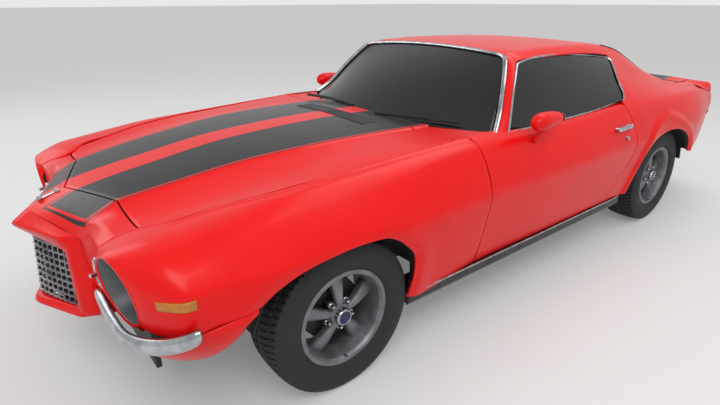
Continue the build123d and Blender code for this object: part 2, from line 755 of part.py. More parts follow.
# Deck panel below the rear window, trunk lid and spoiler
DECK_WALL = 14
LID_WALL = 22
with BuildPart() as deck_panel:
    for y, half in ((BACKLIGHT_BASE_Y + SEAT_GAP, 514 - SEAT_GAP), (LID_FRONT_Y - PANEL_GAP, 526 - SEAT_GAP)):
        row = between(LID, y)
        with BuildSketch(across(y)):
            with BuildLine():
                Polyline(
                    (half, row.side_z), (0, row.centre_z), (-half, row.side_z), (-half, row.side_z - DECK_WALL),
                    (0, row.centre_z - DECK_WALL), (half, row.side_z - DECK_WALL), close=True,
                )
            make_face()
    loft(ruled=True)
    with BuildSketch(across(LID_FRONT_Y - PANEL_GAP)):
        row = between(LID, LID_FRONT_Y)
        low = LID_WALL + SEAT_GAP
        with BuildLine():
            Polyline(
                (490, row.side_z - DECK_WALL), (0, row.centre_z - DECK_WALL), (-490, row.side_z - DECK_WALL),
                (-490, row.side_z - low - 8), (0, row.centre_z - low - 8), (490, row.side_z - low - 8), close=True,
            )
        make_face()
    extrude(amount=8)
    for y in (LID_FRONT_Y - PANEL_GAP - 1, LID_FRONT_Y + 18):
        row = between(LID, max(y, LID_FRONT_Y))
        with BuildSketch(across(y)):
            with BuildLine():
                Polyline(
                    (490, row.side_z - low), (0, row.centre_z - low), (-490, row.side_z - low),
                    (-490, row.side_z - low - 8), (0, row.centre_z - low - 8), (490, row.side_z - low - 8),
                    close=True,
                )
            make_face()
    loft(ruled=True)
finish(deck_panel.part, "deck_panel")

with BuildPart() as trunk_lid:
    for y in stations(LID, LID_FRONT_Y, LID_REAR_Y):
        row = between(LID, y)
        half = row.side_x - PANEL_GAP
        with BuildSketch(across(y)):
            with BuildLine():
                Polyline(
                    (half, row.side_z), (0, row.centre_z), (-half, row.side_z), (-half, row.side_z - LID_WALL),
                    (0, row.centre_z - LID_WALL), (half, row.side_z - LID_WALL), close=True,
                )
            make_face()
    loft(ruled=True)
finish(trunk_lid.part, "trunk_lid")

SPOILER_SPLIT_X = 594
SPOILER_END_X = 782
SPOILER_FRONT_Y = REAR_AXLE_Y + 860
SPOILER_PEAK_Y = REAR_AXLE_Y + 1036
SPOILER_REAR_Y = REAR_AXLE_Y + 1046


def spoiler_section(x, base_front, base_rear, rise):
    """Wedge in side view: low front edge, peak near the tail and a steep back."""
    with BuildSketch(along(x)) as section:
        with BuildLine():
            Polyline(
                (SPOILER_FRONT_Y, base_front + SEAT_GAP), (SPOILER_FRONT_Y, base_front + 5),
                (SPOILER_PEAK_Y - 90, base_rear + rise * 0.55), (SPOILER_PEAK_Y, base_rear + rise),
                (SPOILER_REAR_Y, base_rear + rise - 4), (LID_REAR_Y, base_rear + SEAT_GAP), close=True,
            )
        make_face()
    return section.sketch


lid_front = between(LID, SPOILER_FRONT_Y)
lid_rear = LID[-1]
spoiler_side = spoiler_section(SPOILER_SPLIT_X, lid_front.side_z, lid_rear.side_z, 40)
spoiler_middle = spoiler_section(0, lid_front.centre_z, lid_rear.centre_z, 40)
spoiler_far = spoiler_section(-SPOILER_SPLIT_X, lid_front.side_z, lid_rear.side_z, 40)
with BuildPart() as spoiler_centre:
    loft([spoiler_far, spoiler_middle, spoiler_side], ruled=True)
finish(spoiler_centre.part, "spoiler_centre")


def quarter_top(x, y):
    """Height of the quarter's top skin between its inner edge and its shoulder."""
    _, _, shoulder, edge = side_points(y)
    share = (x - edge[0]) / (shoulder[0] - edge[0])
    return edge[1] + (shoulder[1] - edge[1]) * share + 4 * SIDE_BULGES[2] * share * (1 - share) + 3


end_xs = (SPOILER_SPLIT_X + 8, (SPOILER_SPLIT_X + SPOILER_END_X) / 2, SPOILER_END_X)
end_sections = [
    spoiler_section(x, quarter_top(x, SPOILER_FRONT_Y), quarter_top(x, TAIL_Y - 6), rise)
    for x, rise in zip(end_xs, (40, 37, 30))
]
with BuildPart() as spoiler_end_left:
    loft(end_sections, ruled=True)
with BuildPart() as spoiler_ends:
    add(spoiler_end_left.part)
    mirror(spoiler_end_left.part, about=Plane.YZ)
finish(spoiler_ends.part, "spoiler_ends")


# Tail panel with round lamp openings, and all lamps
TAIL_WALL = 14
TAIL_LAMP_X = (470, 628)
TAIL_LAMP_Z = 690
TAIL_LAMP_RADIUS = 62
PLATE_HOLE_SPACING = 178
PLATE_HOLE_RADIUS = 3.5
PLATE_Z = 690

with BuildPart() as rear_panel:
    sill, crease, shoulder, edge = side_points(TAIL_Y)
    with BuildSketch(across(TAIL_Y + TAIL_WALL + SEAT_GAP)):
        with BuildLine():
            left = [(sill[0] - 6, sill[1]), (crease[0] - 6, crease[1]), (shoulder[0] - 6, shoulder[1] - 4)]
            left.append((edge[0], edge[1] - 6))
            Polyline(*left, *[(-x, z) for x, z in reversed(left)], close=True)
        make_face()
        with Locations(*[(s * x, TAIL_LAMP_Z) for x in TAIL_LAMP_X for s in (1, -1)]):
            Circle(TAIL_LAMP_RADIUS, mode=Mode.SUBTRACT)
        with Locations((PLATE_HOLE_SPACING / 2, PLATE_Z), (-PLATE_HOLE_SPACING / 2, PLATE_Z)):
            Circle(PLATE_HOLE_RADIUS, mode=Mode.SUBTRACT)
    extrude(amount=TAIL_WALL)
finish(rear_panel.part, "rear_panel")

HEAD_LENS_RADIUS = 89
with BuildPart() as lamps:
    with BuildSketch(across(FACE_Y - 2)):
        with Locations((LAMP_X, LAMP_Z), (-LAMP_X, LAMP_Z)):
            Circle(LAMP_BORE - SEAT_GAP)
    extrude(amount=-24)
    with BuildSketch(across(FACE_Y - 2)):
        with Locations((LAMP_X, LAMP_Z), (-LAMP_X, LAMP_Z)):
            Circle(LAMP_BORE - 16)
            Circle(HEAD_LENS_RADIUS, mode=Mode.SUBTRACT)
    extrude(amount=8)
    with BuildSketch(across(F - 735)):
        with Locations((PARK_X, PARK_Z), (-PARK_X, PARK_Z)):
            Circle(PARK_RADIUS - SEAT_GAP)
    extrude(amount=26)
    with BuildSketch(across(TAIL_Y + TAIL_WALL + SEAT_GAP + 6)):
        with Locations(*[(s * x, TAIL_LAMP_Z) for x in TAIL_LAMP_X for s in (1, -1)]):
            Circle(TAIL_LAMP_RADIUS - SEAT_GAP)
    extrude(amount=18)
finish(lamps.part, "lamps")


# Wheels: tyre and deep five-spoke rim
def wheel_plane(axle_y):
    """Sketch x runs outward along the axle line, sketch y is the radius upward."""
    return Plane(origin=(0, axle_y, AXLE_Z), x_dir=(1, 0, 0), z_dir=(0, -1, 0))


RIM_OUT_X = WHEEL_PLANE_X + RIM_WIDTH / 2
RIM_IN_X = WHEEL_PLANE_X - RIM_WIDTH / 2
SPOKE_FACE_X = RIM_OUT_X - 42

for end, axle_y in (("front", FRONT_AXLE_Y), ("rear", REAR_AXLE_Y)):
    axle_line = Axis((0, axle_y, AXLE_Z), (1, 0, 0))
    half = TYRE_WIDTH / 2
    with BuildPart() as tyre:
        with BuildSketch(wheel_plane(axle_y)):
            with BuildLine():
                Polyline(
                    (WHEEL_PLANE_X - half + 24, TYRE_BEAD_RADIUS), (WHEEL_PLANE_X - half, TYRE_BEAD_RADIUS + 55),
                    (WHEEL_PLANE_X - half + 6, TYRE_RADIUS - 22), (WHEEL_PLANE_X - half + 26, TYRE_RADIUS - 3),
                    (WHEEL_PLANE_X, TYRE_RADIUS), (WHEEL_PLANE_X + half - 26, TYRE_RADIUS - 3),
                    (WHEEL_PLANE_X + half - 6, TYRE_RADIUS - 22), (WHEEL_PLANE_X + half, TYRE_BEAD_RADIUS + 55),
                    (WHEEL_PLANE_X + half - 24, TYRE_BEAD_RADIUS), close=True,
                )
            make_face()
        revolve(axis=axle_line)
    finish(tyre.part, f"tyre_{end}_left")
    with BuildPart() as rim:
        with BuildSketch(wheel_plane(axle_y)):
            with BuildLine():
                bead = TYRE_BEAD_RADIUS - SEAT_GAP
                Polyline(
                    (RIM_IN_X, bead), (RIM_OUT_X, bead), (RIM_OUT_X, bead - RIM_WALL),
                    (RIM_OUT_X - 30, bead - RIM_WALL - 12), (RIM_IN_X + 20, bead - RIM_WALL - 12),
                    (RIM_IN_X, bead - RIM_WALL), close=True,
                )
            make_face()
        revolve(axis=axle_line)
        with BuildSketch(Plane(origin=(SPOKE_FACE_X, axle_y, AXLE_Z), x_dir=(0, 1, 0), z_dir=(1, 0, 0))):
            Circle(HUB_RADIUS + 16)
            with PolarLocations(0.001, SPOKES, start_angle=90):
                Polygon((40, -26), (180, -36), (180, 36), (40, 26), align=None)
        extrude(amount=-20)
        with BuildSketch(Plane(origin=(SPOKE_FACE_X, axle_y, AXLE_Z), x_dir=(0, 1, 0), z_dir=(1, 0, 0))):
            Circle(HUB_RADIUS)
        extrude(amount=12, taper=18)
        with BuildSketch(Plane(origin=(SPOKE_FACE_X - 20, axle_y, AXLE_Z), x_dir=(0, 1, 0), z_dir=(1, 0, 0))):
            Circle(HUB_RADIUS + 14)
        extrude(amount=-22)
    finish(rim.part, f"rim_{end}_left")
    for piece, name in ((tyre, "tyre"), (rim, "rim")):
        with BuildPart() as right:
            mirror(piece.part, about=Plane.YZ)
        finish(right.part, f"{name}_{end}_right")


# Knuckles, control arms and subframe
HUB_FACE_X = SPOKE_FACE_X - 42 - SEAT_GAP
DISC_RADIUS = 138
ARM_THICKNESS = 16
UPPER_ARM_Z = AXLE_Z + 112
LOWER_ARM_Z = AXLE_Z - 118
RAIL_INNER_X = 350
RAIL_OUTER_X = 430

with BuildPart() as knuckle_left:
    with BuildSketch(along(KINGPIN_X + 12)):
        with Locations((FRONT_AXLE_Y, AXLE_Z)):
            Circle(42)
    extrude(amount=HUB_FACE_X - KINGPIN_X - 12)
    with BuildSketch(along(KINGPIN_X + 22)):
        with Locations((FRONT_AXLE_Y, AXLE_Z)):
            Circle(DISC_RADIUS)
    extrude(amount=22)
    with BuildSketch(along(KINGPIN_X - 14)):
        with Locations((FRONT_AXLE_Y, (UPPER_ARM_Z + LOWER_ARM_Z) / 2)):
            Rectangle(44, UPPER_ARM_Z - LOWER_ARM_Z - 2 * SEAT_GAP)
    extrude(amount=28)
finish(knuckle_left.part, "knuckle_left")
with BuildPart() as knuckle_right:
    mirror(knuckle_left.part, about=Plane.YZ)
finish(knuckle_right.part, "knuckle_right")

with BuildPart() as arms_left:
    for z, spread in ((UPPER_ARM_Z, 110), (LOWER_ARM_Z - ARM_THICKNESS, 160)):
        with BuildSketch(Plane.XY.offset(z)):
            with BuildLine():
                Polyline(
                    (KINGPIN_X, F - 24), (KINGPIN_X + 14, F - 10), (KINGPIN_X + 14, F + 10), (KINGPIN_X, F + 24),
                    (KINGPIN_X - 80, F + 38),
                    (RAIL_OUTER_X + SEAT_GAP, F + spread), (RAIL_OUTER_X + SEAT_GAP, F + spread - 50),
                    (KINGPIN_X - 100, F), (RAIL_OUTER_X + SEAT_GAP, F - spread + 50),
                    (RAIL_OUTER_X + SEAT_GAP, F - spread), (KINGPIN_X - 80, F - 38), close=True,
                )
            make_face()
        extrude(amount=ARM_THICKNESS)
with BuildPart() as control_arms:
    add(arms_left.part)
    mirror(arms_left.part, about=Plane.YZ)
finish(control_arms.part, "control_arms")

SUPPORT_Y = F - 640
with BuildPart() as subframe:
    for side in (1, -1):
        with BuildSketch(across(F + 690)):
            with Locations((side * (RAIL_INNER_X + RAIL_OUTER_X) / 2, 240)):
                Rectangle(RAIL_OUTER_X - RAIL_INNER_X, 90)
        extrude(amount=690 - (SUPPORT_Y - F))
        with BuildSketch(Plane.XY.offset(220)):
            with Locations((side * (RAIL_INNER_X + RAIL_OUTER_X) / 2, FRONT_AXLE_Y)):
                Rectangle(RAIL_OUTER_X - RAIL_INNER_X, 330)
        extrude(amount=UPPER_ARM_Z + 40 - 220)
        with BuildSketch(Plane.XY.offset(240)):
            bracket_width = VAULT_INNER_X - SEAT_GAP - RAIL_OUTER_X
            with Locations(*[(side * (RAIL_OUTER_X + bracket_width / 2), F + dy) for dy in (-220, 220)]):
                Rectangle(bracket_width, 60)
        extrude(amount=VAULT_FOOT_Z + 30 - 240)
    with BuildSketch(along(-RAIL_INNER_X)):
        with Locations((FRONT_AXLE_Y, 238)):
            Rectangle(180, 80)
    extrude(amount=2 * RAIL_INNER_X)
    with BuildSketch(across(SUPPORT_Y + 20)):
        with Locations((0, 480)):
            Rectangle(1040, 570)
            Rectangle(760, 430, mode=Mode.SUBTRACT)
    extrude(amount=20)
finish(subframe.part, "subframe")


# Engine and gearbox block, driveshaft, rear axle, springs, exhaust and tank
GEARBOX_END_Y = F + 960
SHAFT_RADIUS = 36
AXLE_TUBE_RADIUS = 42
DIFF_RADIUS = 118
SPRING_X = 505
SPRING_WIDTH = 60
PIPE_X = 270
PIPE_RADIUS = 28
TIP_RADIUS = 32
TIP_LENGTH = 150
MUFFLER_RADIUS = 62
TUNNEL_HALF = 150
TUNNEL_TOP_Z = 470
SHEET = 10
RISER_Y = R - 330

with BuildPart() as engine:
    with BuildSketch(Plane.XY.offset(278 + SEAT_GAP)):
        with Locations((0, F + 90)):
            Rectangle(500, 640)
    extrude(amount=500)
    with BuildSketch(across(GEARBOX_END_Y)):
        with Locations((0, 345)):
            Rectangle(220, 170)
    extrude(amount=GEARBOX_END_Y - F - 400)
finish(engine.part, "engine")

with BuildPart() as driveshaft:
    with BuildSketch(across(GEARBOX_END_Y + SEAT_GAP)):
        with Locations((0, AXLE_Z)):
            Circle(SHAFT_RADIUS)
    extrude(amount=-(REAR_AXLE_Y - DIFF_RADIUS - 80 - GEARBOX_END_Y - 2 * SEAT_GAP))
finish(driveshaft.part, "driveshaft")

with BuildPart() as rear_axle:
    with BuildSketch(along(-(HUB_FACE_X))):
        with Locations((REAR_AXLE_Y, AXLE_Z)):
            Circle(AXLE_TUBE_RADIUS)
    extrude(amount=2 * HUB_FACE_X)
    with BuildSketch(along(-95)):
        with Locations((REAR_AXLE_Y, AXLE_Z)):
            Circle(DIFF_RADIUS)
    extrude(amount=190)
    with BuildSketch(across(REAR_AXLE_Y)):
        with Locations((0, AXLE_Z)):
            Circle(60)
    extrude(amount=DIFF_RADIUS + 80)
    for side in (1, -1):
        with BuildSketch(along(side * (KINGPIN_X + 22))):
            with Locations((REAR_AXLE_Y, AXLE_Z)):
                Circle(DISC_RADIUS)
        extrude(amount=side * 34)
finish(rear_axle.part, "rear_axle")

EYE_RADIUS = 24
spring_seat_z = AXLE_Z - AXLE_TUBE_RADIUS - SEAT_GAP
with BuildPart() as leaf_springs:
    for side in (1, -1):
        with BuildSketch(along(side * SPRING_X - SPRING_WIDTH / 2)):
            with BuildLine():
                front = (R - 560, FLOOR_Z - EYE_RADIUS - SEAT_GAP)
                rear = (R + 560, TRUNK_FLOOR_Z - EYE_RADIUS - SEAT_GAP)
                Polyline(
                    (front[0], front[1] + 8), (RISER_Y - 20, front[1] + 14), (R - 60, spring_seat_z),
                    (R + 60, spring_seat_z), (rear[0], rear[1] + 8), (rear[0], rear[1] - 8),
                    (R + 60, spring_seat_z - 22), (R - 60, spring_seat_z - 22),
                    (RISER_Y - 20, front[1] - 4), (front[0], front[1] - 8), close=True,
                )
            make_face()
            with Locations(front, rear):
                Circle(EYE_RADIUS)
        extrude(amount=SPRING_WIDTH)
finish(leaf_springs.part, "leaf_springs")

with BuildPart() as exhaust:
    pipe_z = FLOOR_Z - SEAT_GAP - PIPE_RADIUS
    for side in (1, -1):
        with BuildSketch(across(TAIL_Y + 20)):
            with Locations((side * PIPE_X, pipe_z)):
                Circle(PIPE_RADIUS)
                Circle(PIPE_RADIUS - 4, mode=Mode.SUBTRACT)
        extrude(amount=TAIL_Y + 20 - F - 760)
        with BuildSketch(across(TAIL_Y + 20)):
            with Locations((side * PIPE_X, pipe_z)):
                Circle(TIP_RADIUS)
                Circle(PIPE_RADIUS - 4, mode=Mode.SUBTRACT)
        extrude(amount=TIP_LENGTH)
        with BuildSketch(across(R + 420)):
            with Locations((side * PIPE_X, pipe_z)):
                Circle(MUFFLER_RADIUS)
                Circle(PIPE_RADIUS - 4, mode=Mode.SUBTRACT)
        extrude(amount=-380)
finish(exhaust.part, "exhaust")

TANK_TOP_Z = TRUNK_FLOOR_Z - SEAT_GAP
with BuildPart() as fuel_tank:
    with BuildSketch(Plane.XY.offset(TANK_TOP_Z)):
        with Locations((0, R + 640)):
            RectangleRounded(760, 440, 60)
    extrude(amount=-170, taper=6)
finish(fuel_tank.part, "fuel_tank")


# Floor, firewall, cowl, hinge posts and rear wheel housings
FIREWALL_Y = F + 700
CABIN_HALF = 728
HOUSING_INNER_X = 600
HOUSING_RADIUS = 372
TRUNK_HALF = 770
SILL_TOP_Z = 304
ROCKER_OUTER_START = 340
FOOT_CORNER = (726, F + 958, 892)

foot_strip, foot_plane = crescent(*BASE_CENTRE, FOOT_CORNER, -4, 34)
with BuildPart() as glass_foot_part:
    add(foot_strip)
    extrude(amount=-40)
glass_foot = glass_foot_part.part

with BuildPart() as floor_pan:
    with BuildSketch(across(RISER_Y)):
        with BuildLine():
            Polyline(
                (CABIN_HALF, FLOOR_Z), (CABIN_HALF, FLOOR_Z + SHEET), (TUNNEL_HALF, FLOOR_Z + SHEET),
                (TUNNEL_HALF - 30, TUNNEL_TOP_Z), (-TUNNEL_HALF + 30, TUNNEL_TOP_Z),
                (-TUNNEL_HALF, FLOOR_Z + SHEET), (-CABIN_HALF, FLOOR_Z + SHEET), (-CABIN_HALF, FLOOR_Z),
                (-TUNNEL_HALF + SHEET, FLOOR_Z), (-TUNNEL_HALF + 30 + SHEET, TUNNEL_TOP_Z - SHEET),
                (TUNNEL_HALF - 30 - SHEET, TUNNEL_TOP_Z - SHEET), (TUNNEL_HALF - SHEET, FLOOR_Z), close=True,
            )
        make_face()
    extrude(amount=RISER_Y - FIREWALL_Y)
    with BuildSketch(across(FIREWALL_Y)):
        with Locations((0, (FLOOR_Z + 850) / 2)):
            Rectangle(2 * CABIN_HALF, 850 - FLOOR_Z)
        with BuildLine():
            Polyline(
                (TUNNEL_HALF - SHEET, FLOOR_Z), (TUNNEL_HALF - 40, TUNNEL_TOP_Z - SHEET),
                (-TUNNEL_HALF + 40, TUNNEL_TOP_Z - SHEET), (-TUNNEL_HALF + SHEET, FLOOR_Z), close=True,
            )
        make_face(mode=Mode.SUBTRACT)
        for side in (1, -1):
            with Locations((side * (RAIL_INNER_X + RAIL_OUTER_X) / 2, 240)):
                Rectangle(RAIL_OUTER_X - RAIL_INNER_X + 2 * SEAT_GAP, 90 + 2 * SEAT_GAP, mode=Mode.SUBTRACT)
    extrude(amount=SHEET)
    with BuildSketch(across(RISER_Y + SHEET)):
        with Locations((0, (FLOOR_Z + TRUNK_FLOOR_Z + SHEET) / 2)):
            Rectangle(2 * HOUSING_INNER_X, TRUNK_FLOOR_Z + SHEET - FLOOR_Z)
        with Locations((0, FLOOR_Z + 90)):
            Rectangle(2 * TUNNEL_HALF - 80, 210, mode=Mode.SUBTRACT)
    extrude(amount=SHEET)
    with BuildSketch(Plane.XY.offset(TRUNK_FLOOR_Z)):
        with BuildLine():
            Polyline(
                (HOUSING_INNER_X, RISER_Y), (HOUSING_INNER_X, R + 400), (TRUNK_HALF, R + 410),
                (TRUNK_HALF - 10, TAIL_Y), (-TRUNK_HALF + 10, TAIL_Y), (-TRUNK_HALF, R + 410),
                (-HOUSING_INNER_X, R + 400), (-HOUSING_INNER_X, RISER_Y), close=True,
            )
        make_face()
    extrude(amount=SHEET)
    for side in (1, -1):
        with BuildSketch(along(side * HOUSING_INNER_X)):
            with Locations((REAR_AXLE_Y, AXLE_Z)):
                Circle(HOUSING_RADIUS + 8)
                with Locations((0, -HOUSING_RADIUS / 2 - 40)):
                    Rectangle(3 * HOUSING_RADIUS, HOUSING_RADIUS + 200, mode=Mode.SUBTRACT)
        extrude(amount=side * 280)
        with BuildSketch(along(side * (HOUSING_INNER_X + 8))):
            with Locations((REAR_AXLE_Y, AXLE_Z)):
                Circle(HOUSING_RADIUS)
        extrude(amount=side * 300, mode=Mode.SUBTRACT)
        with BuildSketch(Plane.XY.offset(SILL_TOP_Z + SEAT_GAP)):
            with BuildLine():
                Polyline(
                    (side * (CABIN_HALF - 4), DOOR_FRONT_Y - 60), (side * (HALF_WIDTH - 119), DOOR_FRONT_Y - 60),
                    (side * (HALF_WIDTH - 127), DOOR_FRONT_Y - 12), (side * (CABIN_HALF - 4), DOOR_FRONT_Y - 12), close=True,
                )
            make_face()
        extrude(amount=545)
    with BuildSketch(Plane.XY.offset(840)):
        with BuildLine():
            Polyline((-CABIN_HALF, FIREWALL_Y - SHEET), (CABIN_HALF, FIREWALL_Y - SHEET), (CABIN_HALF, F + 960))
            ThreePointArc((CABIN_HALF, F + 960), (0, F + 790), (-CABIN_HALF, F + 960))
            Line((-CABIN_HALF, F + 960), (-CABIN_HALF, FIREWALL_Y - SHEET))
        make_face()
    extrude(amount=34)
    add(glass_foot)
    for y in (HOOD_REAR_Y - 22, HOOD_REAR_Y - 8):
        row = between(HOOD, y)
        seal = HOOD_WALL + SEAT_GAP
        with BuildSketch(across(y)):
            with BuildLine():
                Polyline(
                    (row.step_x, row.step_z - seal), (0, row.centre_z - seal - 0.2), (-row.step_x, row.step_z - seal),
                    (-row.step_x, 870), (row.step_x, 870), close=True,
                )
            make_face()
    loft(ruled=True)
finish(floor_pan.part, "floor_pan")

with BuildPart() as rocker_panels:
    for side in (1, -1):
        with BuildSketch(across(DOOR_REAR_Y + 40)):
            with BuildLine():
                Polyline(
                    (side * (CABIN_HALF + SEAT_GAP), FLOOR_Z), (side * (CABIN_HALF + SEAT_GAP), SILL_TOP_Z),
                    (side * (HALF_WIDTH - 77), SILL_TOP_Z), (side * (HALF_WIDTH - 73), 262),
                    (side * (HALF_WIDTH - 85), 244), (side * (CABIN_HALF + 32), 240), close=True,
                )
            make_face()
        extrude(amount=DOOR_REAR_Y + 40 - F - ROCKER_OUTER_START)
        with BuildSketch(Plane.XY.offset(FLOOR_Z - 20)):
            with BuildLine():
                Polyline(
                    (side * 880, F + ROCKER_OUTER_START - 2), (side * 700, F + ROCKER_OUTER_START + 50),
                    (side * 700, F + ROCKER_OUTER_START - 2), close=True,
                )
            make_face()
        extrude(amount=SILL_TOP_Z - FLOOR_Z + 40, mode=Mode.SUBTRACT)
finish(rocker_panels.part, "rocker_panels")


# Seats, dashboard and steering wheel
SEAT_X = 370
SEAT_Y = F + 1640
WHEEL_Y = F + 1250
WHEEL_Z = 800
COLUMN_LEAN = 18
DASH_REAR_Y = F + 1020

with BuildPart() as seats:
    for side in (1, -1):
        with BuildSketch(Plane.XY.offset(FLOOR_Z + SHEET + SEAT_GAP)):
            with Locations((side * SEAT_X, SEAT_Y)):
                RectangleRounded(430, 470, 60)
        extrude(amount=190)
        with BuildSketch(along(side * SEAT_X - 215)):
            with BuildLine():
                Polyline(
                    (SEAT_Y + 150, 420), (SEAT_Y + 250, 440), (SEAT_Y + 420, 1000), (SEAT_Y + 330, 1020), close=True,
                )
            make_face()
        extrude(amount=430)
    with BuildSketch(along(-560)):
        with BuildLine():
            Polyline(
                (R - 760, FLOOR_Z + 150), (R - 340, FLOOR_Z + 150), (R - 340, TRUNK_FLOOR_Z + SHEET + SEAT_GAP),
                (R - 210, TRUNK_FLOOR_Z + SHEET + SEAT_GAP), (R - 150, 860), (R - 240, 880), (R - 370, 560),
                (R - 760, 560), close=True,
            )
        make_face()
    extrude(amount=1120)
    with BuildSketch(Plane.XY.offset(FLOOR_Z + SHEET)):
        Rectangle(2 * TUNNEL_HALF + 2, 2 * WHEELBASE)
    extrude(amount=TUNNEL_TOP_Z - FLOOR_Z - SHEET + 1, mode=Mode.SUBTRACT)
finish(seats.part, "seats")

with BuildPart() as dashboard:
    with BuildSketch(along(12 - CABIN_HALF)):
        with BuildLine():
            Polyline(
                (F + 701, 600), (F + 900, 600), (DASH_REAR_Y, 660), (DASH_REAR_Y, 800), (DASH_REAR_Y - 60, 840),
                (F + 701, 839), close=True,
            )
        make_face()
    extrude(amount=2 * CABIN_HALF - 24)
    column = Plane(
        origin=(SEAT_X, WHEEL_Y, WHEEL_Z), x_dir=(1, 0, 0),
        z_dir=(0, cos(radians(COLUMN_LEAN)), sin(radians(COLUMN_LEAN))),
    )
    with BuildSketch(column.offset(-30 - SEAT_GAP)):
        Circle(30)
    extrude(amount=-300)
finish(dashboard.part, "dashboard")

with BuildPart() as steering_wheel:
    with BuildSketch(column.offset(-30)):
        Circle(44)
    extrude(amount=34)
    with BuildSketch(column.offset(-6)):
        Circle(186)
        Circle(160, mode=Mode.SUBTRACT)
    extrude(amount=20)
    with BuildSketch(column.offset(-4)):
        for angle in (0, 180, 270):
            with Locations(Location((0, 0, 0), (0, 0, angle))):
                with Locations((100, 0)):
                    Rectangle(140, 34)
    extrude(amount=10)
finish(steering_wheel.part, "steering_wheel")
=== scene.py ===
"""Looks of a two-door muscle car with twin stripes, a split front bumper and a three-piece spoiler."""

import math

import bpy
import numpy as np
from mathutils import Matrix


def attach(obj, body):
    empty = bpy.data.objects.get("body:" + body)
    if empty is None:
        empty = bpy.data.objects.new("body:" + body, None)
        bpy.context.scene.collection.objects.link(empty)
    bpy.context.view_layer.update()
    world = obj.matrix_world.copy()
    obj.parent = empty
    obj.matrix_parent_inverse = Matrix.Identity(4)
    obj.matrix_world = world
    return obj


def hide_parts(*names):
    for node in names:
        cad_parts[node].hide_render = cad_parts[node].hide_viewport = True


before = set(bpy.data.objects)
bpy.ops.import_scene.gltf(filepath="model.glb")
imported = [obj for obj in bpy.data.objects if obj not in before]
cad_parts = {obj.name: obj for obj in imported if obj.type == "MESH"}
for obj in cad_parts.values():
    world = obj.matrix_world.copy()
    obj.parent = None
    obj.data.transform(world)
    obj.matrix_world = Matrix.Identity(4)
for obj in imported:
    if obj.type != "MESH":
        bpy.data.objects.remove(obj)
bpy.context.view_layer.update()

bl_info = {
    "name": "Muscle car looks",
    "version": (1, 0, 0),
    "blender": (4, 5, 0),
    "location": "3D View > Sidebar > Car",
    "description": "Smooth body panels, wheels, glass and trim round a packed car frame",
    "category": "Object",
}

MM = 0.001
F = -1441.0  # front axle, mm along Y; the nose points to -Y
R = 1302.0  # rear axle, mm along Y
HALF = 945.0  # half of the body's width, mm
AXLE_Z = 330.0  # height of the wheels' centres, mm
FENDER_TIP = F - 751  # front edge of the fenders
FENDER_END = F + 790  # middle of the gap between fender and door
HOOD_TIP = F - 744  # front end of the hood's sections
HOOD_END = F + 722  # rear edge of the hood
TAIL = R + 1049  # rear end of the quarters
FENDER_BULGES = (3, 12, 8, 3)  # how far each span of a section stands off its chord, mm
DOOR_BULGES = (3, 14, 9)
QUARTER_BULGES = (3, 13, -9, 5)
LAMP = np.array((676.0, 650.0))  # x and z of the headlamps' axis
LAMP_LEAN, LAMP_SWEEP = 0.12, 0.18  # slopes of the lamps' rims, forwards going up and back going outwards
SWEEP_FROM = 600.0  # x at which the sweep starts, mm
POD_RADIUS = 127.0  # the fender's front end round the headlamp

# ---- measured lines of the body, in mm --------------------------------------------------------

# y, then inset from the side and height of: sill, crease, shoulder, crest, edge
FENDER = [
    (FENDER_TIP, 128, 520, 104, 697, 148, 768, 262, 790, 392, 762),
    (F - 695, 76, 530, 58, 697, 130, 784, 258, 801, 392, 780),
    (F - 634, 42, 543, 27, 697, 125, 797, 265, 811, 390, 793),
    (F - 560, 30, 554, 18, 696, 124, 808, 272, 818, 322, 812),
    (F - 400, 10, 576, 5, 690, 124, 829, 262, 838, 292, 836),
    (F - 250, 4, 560, 1, 684, 126, 842, 213, 858, 248, 856),
    (F, 2, 500, 0, 678, 124, 850, 190, 874, 215, 875),
    (F + 320, 60, 310, 6, 671, 118, 857, 184, 888, 208, 893),
    (F + 787, 86, 310, 17, 664, 104, 868, 168, 903, 192, 911),
]
# y, then inset and height of: sill, crease, shoulder, belt
DOOR = [
    (F + 760, 85, 310, 16, 664, 104, 867, 194, 911),
    (F + 793, 86, 310, 17, 664, 104, 868, 192, 911),
    (R - 1300, 83, 310, 15, 663, 102, 866, 157, 889),
    (R - 900, 81, 310, 14, 665, 102, 870, 157, 894),
    (R - 600, 79, 310, 15, 666, 99, 880, 158, 908),
    (R - 520, 79, 310, 15, 666, 98, 882, 160, 914),
]
# y, then inset and height of: sill, crease, shoulder, sail foot, ridge
QUARTER = [
    (R - 760, 79, 310, 15, 666, 98, 882, 252, 1110, 388, 1231),
    (R - 554, 79, 310, 15, 666, 98, 882, 270, 1106, 400, 1230),
    (R - 420, 77, 310, 13, 665, 94, 884, 296, 1098, 415, 1222),
    (R - 340, 77, 310, 13, 664, 94, 884, 302, 1080, 418, 1208),
    (R - 220, 60, 340, 10, 668, 92, 885, 304, 1050, 421, 1185),
    (R + 6, 6, 500, 5, 688, 90, 884, 300, 1000, 424, 1108),
    (R + 300, 12, 470, 8, 690, 94, 882, 281, 935, 425, 1000),
    (R + 480, 38, 452, 24, 681, 104, 878, 256, 907, 389, 926),
    (R + 600, 70, 440, 48, 672, 118, 872, 238, 890, 345, 892),
    (R + 860, 134, 440, 114, 650, 158, 836, 246, 868, 339, 873),
    (TAIL, 190, 450, 168, 640, 176, 796, 256, 832, 337, 848),
]
